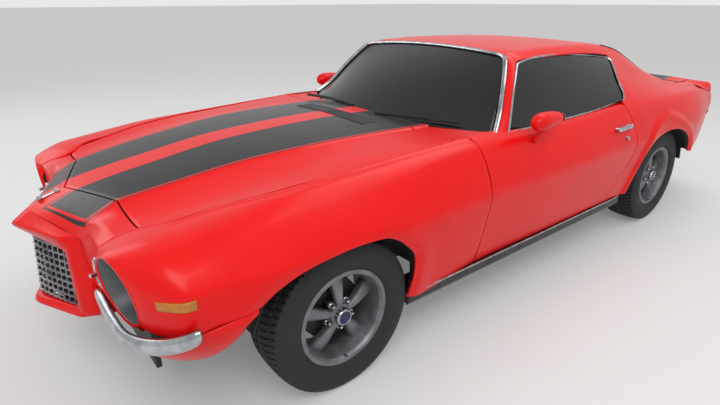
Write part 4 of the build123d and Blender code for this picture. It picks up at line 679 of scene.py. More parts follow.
def flared(side, places, opening_yz, reach, height, fade, fall):
    """Panel points pushed outwards near a wheel opening: up to the height at a reach from its edge,
    then back to nothing over the fade. The reach is a table over y, and the push falls off up the
    section by a start less a share of the place t."""
    p = on_side(side, places[..., 0], places[..., 1])
    d = nearest(p[..., 1:], opening_yz)
    reach = np.interp(p[..., 1], *reach)
    lift = height * np.clip(d / reach, 0, 1) * (1 - ease((d - reach) / fade))
    p[..., 0] += lift * np.clip(fall[0] - places[..., 1] * fall[1], 0, 1)
    return p


def back_glass_height(y):
    """Height of the rear glass's side edge: straight from the roof down to the deck, then the deck's."""
    deck = smooth_rows(DECK, np.maximum(y, R + 300))[:, 1]
    return np.where(y < R + 300, 1221 - (y - 884) * (1221 - 905) / 718, deck)


def pod(p):
    """Draws the fender's front end in to a ring round the headlamp: over the last 141 mm a section
    point's distance from the lamp's axis falls along a quarter ellipse to the ring's radius, and the
    ring's plane leans and sweeps back. The edge beside the header stays."""
    s = np.clip((FENDER_TIP + 141 - p[..., 1]) / 141, 0, 1)
    away = p[..., (0, 2)] - LAMP
    r = np.linalg.norm(away, axis=-1)
    ratio = np.minimum(1, POD_RADIUS / np.maximum(r, 1))
    hold = ease((p[..., 0] - 556) / 60)
    k = 1 - (1 - ratio) * (1 - np.sqrt(1 - s * s)) * hold
    q = p.copy()
    q[..., 0] = LAMP[0] + away[..., 0] * k
    q[..., 2] = LAMP[1] + away[..., 1] * k
    q[..., 1] -= s * hold * (7 + LAMP_LEAN * (q[..., 2] - LAMP[1]) - LAMP_SWEEP * (q[..., 0] - SWEEP_FROM))
    return q


class CAR_OT_sides(bpy.types.Operator):
    """Makes fenders, doors and quarters as smooth skins between their real gaps"""
    bl_idname = "car.sides"
    bl_label = "Body sides"

    def execute(self, context):
        half_gap = context.scene.car_sizes.gap / MM / 2
        skin = context.scene.car_sizes.skin / MM
        # fender: ring of lines from the wheel opening to nose, hood gap and door gap
        arch = curve_through(ARCH_FRONT, 241) + (F, 0)
        rear = FENDER_END - half_gap
        outer = broken_line([(FENDER_TIP, 0), (FENDER_TIP, 4), (rear, 4), (rear, 0)], (60, 120, 60))
        places = between(in_places(FENDER_SIDE, arch), outer, 36, 1.5)
        fender = pod(flared(FENDER_SIDE, places, arch, ((F,), (40,)), 9, 110, (1.4, 0.28)))
        # quarter: ring from its opening to door gap, side glass, roof, rear glass and tail
        arch_r = curve_through(ARCH_REAR, 281) + (R, 0)
        seam = curve_through(DOOR_REAR, 40) + (half_gap, 0)
        edge = in_places(QUARTER_SIDE, np.concatenate([seam, curve_through(GLASS_REAR, 40)[1:]]))
        outer = np.concatenate([edge, broken_line([edge[-1], (872, 4), (TAIL, 4), (TAIL, 0)], (10, 130, 62))])
        even, at = np.linspace(0, 1, len(outer)), np.linspace(0, 1, 281)
        outer = np.column_stack([np.interp(at, even, outer[:, k]) for k in (0, 1)])
        places = between(in_places(QUARTER_SIDE, arch_r), outer, 36, 1.5)
        reach = ((R - 420, R - 95, R + 110, R + 300), (60, 96, 44, 34))
        quarter = flared(QUARTER_SIDE, places, arch_r, reach, 17, 48, (1.7, 0.5))
        # flanges that close the space between the openings and the wheel housings
        flanges = []
        for line, side in ((arch, FENDER_SIDE), (arch_r, QUARTER_SIDE)):
            out = np.gradient(line, axis=0)
            out = np.stack([-out[:, 1], out[:, 0]], -1) / np.linalg.norm(out, axis=1, keepdims=True)
            x = on_side(side, *in_places(side, line).T)[:, 0]
            sill = on_side(side, line[:, 0], 0 * line[:, 0])[:, 2]
            above = line[:, 1] > sill + 4
            rows = [np.column_stack([a, line + out * k])[above]
                    for a, k in ((x - 6, 3), (np.minimum(x - 10, 905), 9), (862 + 0 * x, 12), (860 + 0 * x, 70))]
            rows[3][:, 2] = np.maximum(rows[3][:, 2], sill[above] + 6)
            flanges.append(np.stack(rows, 1))
        # inner walls of the sails, from the ridge down to glass and deck
        ridge = outer[outer[:, 1] > 3.99]
        top = on_side(QUARTER_SIDE, ridge[:, 0], ridge[:, 1])
        low = top.copy()
        low[:, 2] = np.minimum(top[:, 2], back_glass_height(top[:, 1]) - 14)
        low[:, 0] -= 1
        sail_wall = between(top, low, 8)
        # door: skin and inner panel as one closed slab
        t = np.linspace(0, 3, 60)
        z = on_side(DOOR_SIDE, np.full(60, 700.0), t)[:, 2]
        back_y = np.interp(z, [p[1] for p in DOOR_REAR], [p[0] for p in DOOR_REAR]) - half_gap
        v = np.linspace(0, 1, 80)[:, None]
        door = on_side(DOOR_SIDE, (FENDER_END + half_gap) * (1 - v) + back_y * v, np.broadcast_to(t, (80, 60)))
        inner = door.copy()
        inner[..., 0] = np.minimum(745, door[..., 0] - 10)
        rims = [np.stack([a[k], b[k]]) for a, b in ((door, inner), (door.swapaxes(0, 1), inner.swapaxes(0, 1)))
                for k in (0, -1)]
        for name, flip in SIDES:
            piece(f"arch_flange_{name}", flanges, "body", "inner", (880, -60, 2000), picks=[0, 0], wall=2, mirror=flip)
            piece(f"sail_wall_{name}", [sail_wall], "body", "red inner", (900, 1500, 900), wall=5, mirror=flip)
            piece(f"fender_skin_{name}", [fender], "body", "red inner", (300, F, 450), wall=skin, mirror=flip,
                  replaces=[f"front_fender_{name}"], bevel=1.5)
            piece(f"quarter_skin_{name}", [quarter], "body", "red inner", (200, R, 500), wall=skin, mirror=flip,
                  replaces=[f"quarter_{name}"], bevel=1.5)
            piece(f"door_skin_{name}", [door, inner, *rims], f"door_{name}", "red vinyl", (820, 0, 600),
                  picks=[0, 1, 0, 0, 0, 0], mirror=flip, replaces=[f"door_{name}"])
        return {"FINISHED"}


def hood_height(x, y):
    """Hood height: a crown between the steps, a step of 8 mm, a fall to the valley with no slope
    there, and a rise to the edge."""
    rows = smooth_rows(HOOD, np.ravel(y)).reshape(*np.shape(y), 7)
    cz, sx, sz, vx, vz, ex, ez = (rows[..., k] for k in range(7))
    ax, drop, width = np.abs(x), 8.0, 16
    foot = sx + width
    crown = cz - (cz - sz) * (ax / sx) ** 2
    step = sz - drop * ease((ax - sx) / width)
    q = np.clip((ax - foot) / (vx - foot), 0, 1)
    fall = (sz - drop) + (vz - sz + drop) * (1 - (1 - q) ** 2)
    q = np.clip((ax - vx) / (ex - vx), 0, 1.2)
    rise = vz + (ez - vz) * q ** 1.6
    return np.where(ax < sx, crown, np.where(ax < foot, step, np.where(ax < vx, fall, rise)))


def hood_front(x):
    """The hood's front line: a shallow V to its corners, then nearly square to the fender gap."""
    ax = np.abs(x)
    return np.where(ax < 341, HOOD_TIP + 116 * ax / 341, F - 628 + 8 * (ax - 341) / 275)


def step_x(y):
    """Distance of the hood's step from the centre line, from HOOD."""
    return smooth_rows(HOOD, np.ravel(y))[:, 1].reshape(np.shape(y))


def side_edge(y):
    """Inset of the fender's inner edge at the hood gap."""
    table = [(F - 745, 326), *((r[0], r[9]) for r in FENDER if r[0] > F - 620), (F + 800, 192)]
    return np.interp(y, [r[0] for r in table], [r[1] for r in table])


class CAR_OT_hood(bpy.types.Operator):
    """Makes the stepped hood with its bands, the cowl strip behind it, the vent and the wipers"""
    bl_idname = "car.hood"
    bl_label = "Hood and cowl"

    def execute(self, context):
        sizes = context.scene.car_sizes
        inner, gap = sizes.stripe_inner / MM, sizes.gap / MM / 2
        bands = {"stripe_out": lambda p: np.abs(p[:, 0]) - step_x(p[:, 1]) - 2,
                 "stripe_in": lambda p: np.abs(p[:, 0]) - inner}
        corner = 616  # half of the hood's width at its front, mm
        c = np.linspace(-1, 1, 201)
        front_y = hood_front(c * corner) + gap
        y = front_y[None] + (HOOD_END - front_y[None]) * np.linspace(0, 1, 75)[:, None]
        edge = np.where(y < F - 620, corner, HALF - side_edge(y) - gap * 2)
        x = c[None] * edge
        piece("hood_skin", [np.stack([x, y, hood_height(x, y)], -1)], "hood", "paint inner", (0, F, 700), wall=12,
              attributes=bands, replaces=["hood"], bevel=2)
        # gutter that closes the gap between header and hood
        x = np.linspace(-612, 612, 121)[:, None]
        y = hood_front(x) + np.array((-34.0, -16.0, 16.0, 34.0))
        x = np.broadcast_to(x, y.shape)
        z = hood_height(x, np.maximum(y, HOOD_TIP)) - np.array((16, 24, 24, 16.0))
        piece("hood_gutter", [np.stack([x, y, z], -1)], "body", "inner", (0, F - 600, 500), wall=2)
        # cowl strip between hood and windscreen
        x = c[None] * 748
        start = np.full_like(x, HOOD_END + gap * 2)
        stop = -672 + 210 * (np.abs(x) / 761) ** 2.2
        y = start + (np.maximum(stop, start + 12) - start) * np.linspace(0, 1, 14)[:, None]
        x = np.broadcast_to(x, y.shape)
        z = hood_height(x, np.full_like(y, HOOD_END)) - 1.5 - 0.012 * (y - start)
        piece("cowl_strip", [np.stack([x, y, z], -1)], "body", "paint inner", (0, HOOD_END, 700), wall=6,
              attributes=bands)
        # air vent: a low black plate with 30 lengthwise slots to half its width, at the hood's rear
        middle, long, wide = -856.5, 48.5, 302
        y, x = np.meshgrid(np.linspace(-905, -808, 33), np.linspace(-wide, wide, 181), indexing="ij")
        z = hood_height(x, y)
        slots = 2.6 * (np.cos((x / 604) * 2 * math.pi * 30) > 0.2) * (np.abs((y - middle) / long) < 0.8)
        rim = np.minimum(1, np.minimum((wide - np.abs(x)) / 4, (long - np.abs(y - middle)) / 4))
        z = z + 4.2 * np.clip(rim, 0, 1) - slots + 0.3
        piece("hood_vent", [np.stack([x, y, z], -1)], "hood", "black", (0, -856, 600), wall=3)
        # wipers: flat arms parked along the glass foot
        arms = []
        for x0, x1 in ((150, 610), (-560, -80)):
            mid = (x0 + x1) / 2
            path = curve_through([(x0, -700 + 18 * (x0 / 400) ** 2, 928),
                                  (mid, -672 + 150 * (abs(mid) / 761) ** 2.2, 934),
                                  (x1, -668 + 210 * (abs(x1) / 761) ** 2.2, 930)], 24)
            arms += [tube(path, np.linspace(6, 3, 24), 8, flat=0.6), tube(path + (0, 9, 6), 3.2, 6, flat=1.6)]
        piece("wiper_arms", arms, "body", "black", (0, -680, 925), picks=[0] * 4)
        return {"FINISHED"}


def nose_row(x):
    """Heights and places of the nose's three lines at distances x from the centre, from NOSE."""
    return smooth_rows(NOSE, np.abs(np.ravel(x)))


def header_band(p):
    """Distance outside the band on the header: from its V front, its outer and its inner edge."""
    ax = np.abs(p[:, 0])
    return np.maximum(np.maximum(ax - 337, F - 861 + ax * 0.332 - p[:, 1]), 62 - ax)


def shell_line(points):
    """A closed line of the grille shell: its left half and the mirrored right, 11 points a run."""
    h = np.asarray(points, float)
    whole = np.concatenate([h, (h * (-1, 1, 1))[::-1][1:]])
    return broken_line(whole, (11,) * (len(whole) - 1))


def mesh_depth(x, z):
    """Place of the grille's leaning, bowed mesh along the car at x and z."""
    lean = (z - 396) / 244
    return -2338 - 22 * (1 - lean) + 98 * (abs(x) / 236) ** 1.15 + 12


class CAR_OT_nose(bpy.types.Operator):
    """Makes the header, lamp wall, grille surround and its mesh"""
    bl_idname = "car.nose"
    bl_label = "Nose"

    def execute(self, context):
        # header: from the hood gap over the brow to the seam, a softened line of three points
        x = np.linspace(-553, 553, 151)
        rows = nose_row(x).reshape(len(x), 3, 2)
        rows[:, 0, 0] = hood_front(x) - context.scene.car_sizes.gap / MM / 2
        rows[:, 0, 1] = hood_height(x, np.maximum(rows[:, 0, 0], HOOD_TIP)) + 0.5
        u = np.linspace(0, 1, 25)[:-1][None, :, None]
        line = np.concatenate([rows[:, 0:1] + (rows[:, 1:2] - rows[:, 0:1]) * u,
                               rows[:, 1:2] + (rows[:, 2:3] - rows[:, 1:2]) * u, rows[:, 2:3]], axis=1)
        line = soften(line, 20, axis=1)
        header = np.stack([np.broadcast_to(x[:, None], line.shape[:2]), line[..., 0], line[..., 1]], -1)
        piece("nose_header", [header], "body", "paint inner", (0, F - 600, 600), wall=8,
              attributes={"stripe_out": header_band, "stripe_in": lambda p: 0 * p[:, 0] + 50},
              replaces=["nose_panel"], bevel=1.5)
        # lamp wall between shell and lamp pod, upright, rounded into the header's lip
        walls = []
        x = np.linspace(301, 556, 40)
        v = np.linspace(0, 1, 24)[None, :]
        low = np.stack([np.full(40, F - 748.0), np.interp(x, (301, 380, 556), (366, 500, 512))], -1)
        p = between(nose_row(x)[:, 4:6], low, 24)
        p[..., 0] = np.where(v > 0, np.maximum(p[..., 0], F - 752 - 16 * (1 - v)), p[..., 0])
        for sign in (1, -1):
            walls.append(np.stack([np.broadcast_to(sign * x[:, None], p.shape[:2]), p[..., 0], p[..., 1]], -1))
        piece("lamp_walls", walls, "body", "red inner", (0, F - 400, 600), wall=8, picks=[0, 0])
        # grille shell: the closed lines of SHELL round the opening, joined across and softened
        shell = np.stack([shell_line(line) for line in SHELL], 1)
        u = np.linspace(0, 5, 36)
        i = np.minimum(u.astype(int), 4)
        w = (u - i)[None, :, None]
        shell = soften(shell[:, i] * (1 - w) + shell[:, i + 1] * w, 6, axis=1)
        shell = soften(shell, 3, axis=0)
        piece("grille_shell", [shell], "body", "red inner", (0, -2100, 540), wall=4, smooth_angle=50)
        # egg-crate mesh: upright bars 30 mm apart, then level ones that bulge in each cell
        bars = []
        for k in range(-7, 8):
            x = k * 30.0
            z = np.linspace(388 + abs(x) * 0.05, 650 - abs(x) * 0.055, 40)
            bars.append(tube(np.stack([np.full(40, x), mesh_depth(x, z), z], -1), 4.2, 8, flat=0.7))
        x = np.linspace(-234, 234, 61)
        for k in range(9):
            z = np.full(61, 402 + k * 28.5)
            y = mesh_depth(x, z) + 3 * np.cos(x / 30 * 2 * math.pi)
            bars.append(tube(np.stack([x, y, z], -1), 5.5, 8, flat=1.2))
        piece("grille_mesh", bars, "body", "mesh", (0, -2300, 520), picks=[0] * len(bars), replaces=["grille"])
        x, z = np.meshgrid(np.linspace(-250, 250, 30), np.linspace(380, 662, 12), indexing="ij")
        piece("grille_back", [np.stack([x, -2312 + 88 * (np.abs(x) / 250), z], -1)], "body", "inner", (0, -2000, 500),
              wall=3)
        # nose bar: a chromed bar down the brow with thick ends, and a stud on each lamp wall
        path = curve_through([(0, -2286, 776), (0, -2245, 786), (0, -2204, 800)], 16)
        stud = [(-2233, 0.01), (-2233, 4), (-2231, 8), (-2226, 8.5), (-2222, 7), (-2190, 7), (-2190, 0.01)]
        grids = [tube(path, np.r_[7, 12, 11, np.full(10, 6.5), 11, 12, 7], 12)]
        grids += [turned(stud, 20, (sign * 524, 0, 654), "y") for sign in (1, -1)]
        piece("nose_bar", grids, "body", "chrome", (0, -2245, 786), picks=[0, 0, 0])
        return {"FINISHED"}


def lamp_unit(x, y, z, radius, depth, lean=0.0):
    """Parts of one round lamp facing -Y: a rounded ring, a bowl behind it and a domed lens."""
    w = np.linspace(-0.5 * math.pi, 0.5 * math.pi, 9)
    ring = [(y - 6 * math.cos(a), radius + 5 * math.sin(a)) for a in w] + [(y + 14, radius + 5)]
    bowl = [(y + 2, radius - 5)]
    bowl += [(y + depth * (1 - (r / radius) ** 2), r) for r in np.linspace(radius - 6, 0.01, 16)]
    lens = [(y + 6 - 14 * (1 - (r / radius) ** 2), r) for r in np.linspace(radius - 4, 0.01, 16)]
    out = [turned(profile, 72, (x, 0, z), "y") for profile in (ring, bowl, lens)]
    for g in out:
        g[..., 1] -= lean * (g[..., 2] - z)
    return out


def pod_rings(c, q, r, depths):
    """Rings of radii r round the headlamp's axis, each set back by a depth, that lean and sweep as the
    fender's end does."""
    y = depths - LAMP_LEAN * q * r + LAMP_SWEEP * (LAMP[0] + c * r - SWEEP_FROM)
    return np.stack([LAMP[0] + c * r, y, LAMP[1] + q * r], -1)


class CAR_OT_lamps(bpy.types.Operator):
    """Makes headlamps, park lamps, side markers and tail lamps"""
    bl_idname = "car.lamps"
    bl_label = "Lamps"

    def execute(self, context):
        # lip and bowl: a round red lip, a deep grey bowl, then the lamp's own ring and lens; the lip's
        # outer edge runs out to the wall beside it where the fender doesn't reach
        w = np.linspace(0, 2 * math.pi, 121)[:, None]
        c, q = np.cos(w), np.sin(w)
        reach = np.minimum(np.where(q > 0, 168, 151), 124 / np.maximum(-c, 0.01))
        reach = np.where(q > 0, np.minimum(reach, 135 / np.maximum(q - 0.215 * c, 0.01)), reach)
        far = 129 + (np.maximum(reach, 129) - 129) * ease((-c - 0.1) / 0.3)
        far = np.maximum(far, 129 + 13 * ease((-q - 0.55) / 0.2))
        r = np.concatenate([far, np.array((128.0, 124, 119, 115))[None] + 0 * w], 1)
        lip = pod_rings(c, q, r, F - 758 + np.array((10.0, 2, -3.5, -3.5, 1))[None])
        corner = ease((q - 0.3) / 0.3) * ease((-c - 0.2) / 0.2)
        lip[:, :1, 1] = lip[:, :1, 1] * (1 - corner) + (F - 748) * corner
        r = np.array((115.0, 113, 106, 99, 97))[None] + 0 * w
        bucket = pod_rings(c, q, r, F - 757 + np.array((1.0, 6, 30, 58, 66))[None])
        ring, bowl, lens = lamp_unit(LAMP[0], F - 684, LAMP[1], 94, 30, LAMP_LEAN)
        for g in (ring, bowl, lens):
            g[..., 1] += LAMP_SWEEP * (g[..., 0] - LAMP[0])
        behind = (LAMP[0], F - 600, LAMP[1])
        park = lamp_unit(480, F - 757, 637, 52, 26)
        marker = marker_lens(FENDER_SIDE, (-2150, -2024), (647, 684), (40, 12), pod)
        for name, flip in SIDES:
            piece(f"lamp_wall_{name}", [lip, bucket], "body", "red bowl_grey", (LAMP[0], F - 700, LAMP[1]),
                  picks=[0, 1], mirror=flip)
            piece(f"headlamp_{name}", [ring, bowl], "body", "chrome bowl", behind, picks=[0, 1], mirror=flip,
                  replaces=[] if flip else ["lamps"])
            piece(f"headlamp_lens_{name}", [lens], "body", "lens", behind, wall=3, mirror=flip)
            piece(f"park_lamp_{name}", park, "body", "chrome bowl lens", (480, F - 720, 637), picks=[0, 1, 2],
                  mirror=flip)
            piece(f"side_marker_{name}", [marker], "body", "amber", (700, -2080, 660), wall=3, mirror=flip)
            for k, x in enumerate((470, 628)):
                parts = [g * (1, -1, 1) for g in lamp_unit(x, -(R + 1056), 690, 60, 20)]
                piece(f"tail_lamp_{name}_{k + 1}", parts, "body", "chrome bowl ruby", (x, R + 1020, 690),
                      picks=[0, 1, 2], mirror=flip)
        return {"FINISHED"}


def bumper_bar(points, tall, deep):
    """A bar along a path: superellipse sections, fuller to the front, that close in at both ends."""
    path = curve_through(points, 80)
    taper = np.clip(1 - np.abs(np.linspace(-1, 1, 80)) ** 26, 0, 1) ** 0.5
    t = np.gradient(path, axis=0)
    t[:, 2] = 0
    t /= np.linalg.norm(t, axis=1, keepdims=True)
    n = np.stack([t[:, 1], -t[:, 0], 0 * t[:, 0]], -1)
    c, q = rounded(np.linspace(0, 2 * math.pi, 33), 0.9, 0.8)
    depth = np.where(c > 0, deep, deep * 0.4)
    return (path[:, None] + n[:, None] * (c * depth)[None, :, None] * taper[:, None, None]
            + np.array((0, 0, 1.0)) * (q * tall / 2)[None, :, None] * taper[:, None, None])


class CAR_OT_bumpers(bpy.types.Operator):
    """Makes the split front bumper and the rear one as rounded chrome bars"""
    bl_idname = "car.bumpers"
    bl_label = "Bumpers"

    def execute(self, context):
        front = bumper_bar(FRONT_BUMPER, 58, 21)
        grids = [front, front * (-1, 1, 1), bumper_bar(REAR_BUMPER, 90, 18)]
        for sign in (1, -1):
            for x, y, z in ((470, -2217, 541), (640, -2213, 530)):
                stud = [(y - 4.5, 0.01), (y - 3, 6), (y, 9), (y + 4, 9), (y + 4, 0.01)]
                grids.append(turned(stud, 20, (sign * x, 0, z), "y"))
        piece("bumper_bars", grids, "body", "chrome", (0, 0, 530), picks=[0] * len(grids), replaces=["bumpers"])
        return {"FINISHED"}


class CAR_OT_roof(bpy.types.Operator):
    """Makes the roof, windscreen pillars, all glass and the bright reveal trims"""
    bl_idname = "car.roof"
    bl_label = "Roof and glass"

    def execute(self, context):
        # roof: crown between the ridges, a parabola across, then a round drop to the rail
        x = np.linspace(-1, 1, 101)
        front = (-156 + 24 * np.clip(np.abs(x) / 0.9, 0, 1) ** 2)[None]
        y = front + (884 - front) * np.linspace(0, 1, 65)[:, None]
        rows = smooth_rows(ROOF, y.ravel()).reshape(*y.shape, 5)
        cz, rx, rz, qx, qz = (rows[..., k] for k in range(5))
        a = np.abs(x)[None] * np.ones_like(y)
        crown = a < 0.86
        k = a / 0.86
        edge = np.clip((a - 0.86) / 0.14, 0, 1)
        px = np.where(crown, rx * k, rx + (qx - rx) * edge)
        pz = np.where(crown, cz - (cz - rz) * k ** 2.2, rz + (qz - rz) * edge ** 1.4)
        roof = soften(np.stack([np.sign(x)[None] * px, y, pz], -1), 5, axis=1)
        # pillars: between the windscreen's edge line and the side glass's front line, crowned 9 mm
        a = curve_through([*PILLAR_GLASS, (541, -122, 1227)], 44)
        b = curve_through([*PILLAR_SIDE, (610, -114, 1199)], 44)
        w = np.linspace(0, 1, 10)[None, :, None]
        pillar = between(a, b, 10) + np.array((0.55, -0.6, 0.58)) * 9 * 4 * w * (1 - w)
        piece("roof_skin", [roof, pillar, pillar * (-1, 1, 1)], "body", "red inner", (0, 300, 900), wall=8,
              picks=[0, 0, 0], replaces=["roof_panel"], bevel=1.5)
        # windscreen: edges on the pillar lines, bowed forward to the middle
        u = np.linspace(-1, 1, 81)[None, :]
        v = np.linspace(0, 1, 41)[:, None]
        side = curve_through(PILLAR_GLASS, 41)
        mid_y = -684 + 526 * v - 18 * 4 * v * (1 - v) * 0.6
        mid_z = 914 + 331 * v + 18 * 4 * v * (1 - v)
        f, g = np.abs(u) ** 2.2, np.abs(u) ** 2
        screen = np.stack([u * (side[:, :1] - 6), mid_y * (1 - f) + side[:, 1:2] * f,
                           mid_z * (1 - g) + (side[:, 2:] - 2) * g], -1)
        # rear glass between the sails
        rear_y = 884 + 718 * v
        z_edge = back_glass_height(rear_y.ravel())[:, None] - 2
        back_glass = np.stack([u * (519 - 4 * v), np.broadcast_to(rear_y, (41, 81)),
                               z_edge + (16 - 10 * v) * (1 - u ** 2) + 24 * v * (1 - v)], -1)
        piece("windscreen_and_rear_glass", [screen, back_glass], "body", "glass", (0, 300, 700), wall=5, picks=[0, 0],
              replaces=["fixed_glass"])
        # door glass: leaning surface, front and rear edges by the pillar and sail lines
        top = curve_through(GLASS_TOP, 60)
        lead = curve_through(PILLAR_SIDE, 30)
        line = curve_through(GLASS_REAR, 40)
        line = line[line[:, 1] < 1150][::-1]
        trail = curve_through(on_side(QUARTER_SIDE, *in_places(QUARTER_SIDE, line).T), 30)
        foot = curve_through([(786, -384, 892), (788, 0, 890), (787, 372, 893), (786, 716, 905)], 60)
        glass = between(foot, top, 30)
        s = np.linspace(0, 1, 60)[:, None]
        lead_fix, trail_fix = lead - glass[0], trail[::-1] - glass[-1]
        glass = glass + lead_fix[None] * (1 - s[..., None]) ** 2 + trail_fix[None] * s[..., None] ** 2
        q = np.linspace(0, 1, 30)[None]
        glass[..., 0] += np.clip(12 * 4 * q * (1 - q) * (1 - (1 - s) ** 2 - s ** 2) * 2, 0, 14)
        glass -= (2, 0, 0)
        reveal = tube(soften(np.concatenate([lead[:-1], top[:-1], trail]) + (4, 0, 0), 2), 5.5, 8)
        belt = tube(curve_through([(792, -392, 895), (793, 0, 893), (793, 372, 897), (790, 700, 916)], 60), 5.5, 8)
        for name, flip in SIDES:
            piece(f"side_glass_{name}", [glass], f"door_{name}", "glass", (400, 200, 900), wall=5, mirror=flip,
                  replaces=[f"door_glass_{name}"])
            piece(f"reveal_trim_{name}", [reveal], "body", "chrome", (700, 200, 1050), mirror=flip)
            piece(f"belt_trim_{name}", [belt], f"door_{name}", "chrome", (792, 200, 890), mirror=flip)
        # bright trims: two bars round the windscreen and one down each side of the rear glass
        edge = curve_through(PILLAR_GLASS, 50)
        across = np.linspace(1, -1, 60)
        over = np.stack([np.linspace(552, -552, 60), -158 + 8 * across ** 2, 1247 - 28 * across ** 2], -1)
        loop = np.concatenate([edge, over[1:], (edge * (-1, 1, 1))[::-1][1:]]) + (0, -3, 3)
        loop = soften(loop, 6)
        beside = np.abs(loop[:, :1]) > 545
        outer = soften(loop + np.where(beside, np.sign(loop[:, :1]) * (11, 0, 0) + (0, 1, 4), (0, 12.0, 1)), 4)
        back = on_side(QUARTER_SIDE, rear_y[:, 0], 4 + 0 * rear_y[:, 0]) + (-3, 0, 1)
        trims = [tube(loop, 7, 8), tube(outer, 8, 8), tube(back, 4.5, 8), tube(back * (-1, 1, 1), 4.5, 8)]
        piece("screen_trims", trims, "body", "chrome", (0, 0, 1000), picks=[0, 0, 0, 0])
        return {"FINISHED"}


def cushion(width, length, thick, crown, channels, centre, lean=0.0, pull=0.03):
    """A stuffed pad: a rounded rectangle in plan whose sides pull in between the corners, a rounded
    edge, a crowned top and sewn channels across it, then turned by a lean about X and placed."""
    a = np.linspace(0, 2 * math.pi, 73)[:, None]
    r, up = rounded(np.linspace(-math.pi / 2, math.pi / 2, 41)[None], 0.45, 0.8)
    x, y = (r * edge for edge in rounded(a, 0.3, 0.3))
    z = thick / 2 * up + 0 * a
    top = ease(z / thick * 2)
    z = z + crown * top * (1 - x * x) * (1 - y * y)
    rows = (y * 0.5 + 0.5) * channels
    sewn = np.abs(rows - np.round(rows)) / channels * length
    z = z - 9 * top * np.exp(-((sewn / 7) ** 2)) * (np.abs(y) < 0.93) * (1 - x ** 8)
    px = x * width / 2 * (1 - pull * (1 - y * y))
    py = y * length / 2 * (1 - pull * (1 - x * x))
    c, s = math.cos(lean), math.sin(lean)
    return np.stack([px, py * c - z * s, py * s + z * c], -1) + centre


class CAR_OT_seats(bpy.types.Operator):
    """Makes the padded front seats and the rear bench"""
    bl_idname = "car.seats"
    bl_label = "Seats"

    def execute(self, context):
        front = F + 1640  # middle of the front seats' cushions
        parts = []
        for name, x in (("left", 370), ("right", -370)):
            parts.append((f"seat_cushion_{name}", (424, 462, 160, 22, 6), (x, front, 348), 0.0))
            parts.append((f"seat_back_{name}", (424, 580, 82, 16, 7), (x, front + 292, 722), math.radians(73)))
        parts.append(("rear_bench_cushion", (1110, 372, 130, 18, 5), (0, R - 562, 482), 0.0))
        parts.append(("rear_bench_back", (1110, 350, 84, 14, 5), (0, R - 246, 718), math.radians(68)))
        for k, (name, sizes, middle, lean) in enumerate(parts):
            o = piece(name, [cushion(*sizes, middle, lean)], "body", "vinyl", middle,
                      replaces=["seats"] if k == 0 else [])
        return {"FINISHED"}


def spoiler_blade(x, top, base):
    """Spoiler sections at places x: from the deck a hollow ramp up to the lip, a round nose, a short
    rear face down to the base and back below it, with closed ends."""
    w, x = np.linspace(0, 1, 30), x[:, None]
    ramp = 2160.0 + (2330 - 2160.0) * w[None, :] + 0 * x
    foot = base(x + 0 * ramp, ramp)
    ramp_z = foot + 1 + (top[:, None] - foot - 1) * ease(w[None] * 0.97) ** 1.05
    nose_y = np.array((2338.0, 2345, 2349, 2350, 2349, 2347, 2346))[None] + 0 * x
    drop = np.array((0.0, -2, -6, -12, -20, -30, 0))[None] + top[:, None]
    under = base(x + 0 * nose_y, nose_y) - 3
    nose_z = np.maximum(drop, under)
    nose_z[:, -1] = under[:, -1]
    y = np.concatenate([ramp, nose_y, ramp[:, ::-1][:, ::6], ramp[:, :1]], 1)
    z = np.concatenate([ramp_z, nose_z, foot[:, ::-1][:, ::6] - 3, ramp_z[:, :1]], 1)
    g = np.stack([np.broadcast_to(x, y.shape), y, z], -1)
    caps = [np.broadcast_to(g[k].mean(0), g[k].shape)[None] for k in (0, -1)]
    return np.concatenate([caps[0], g, caps[1]])


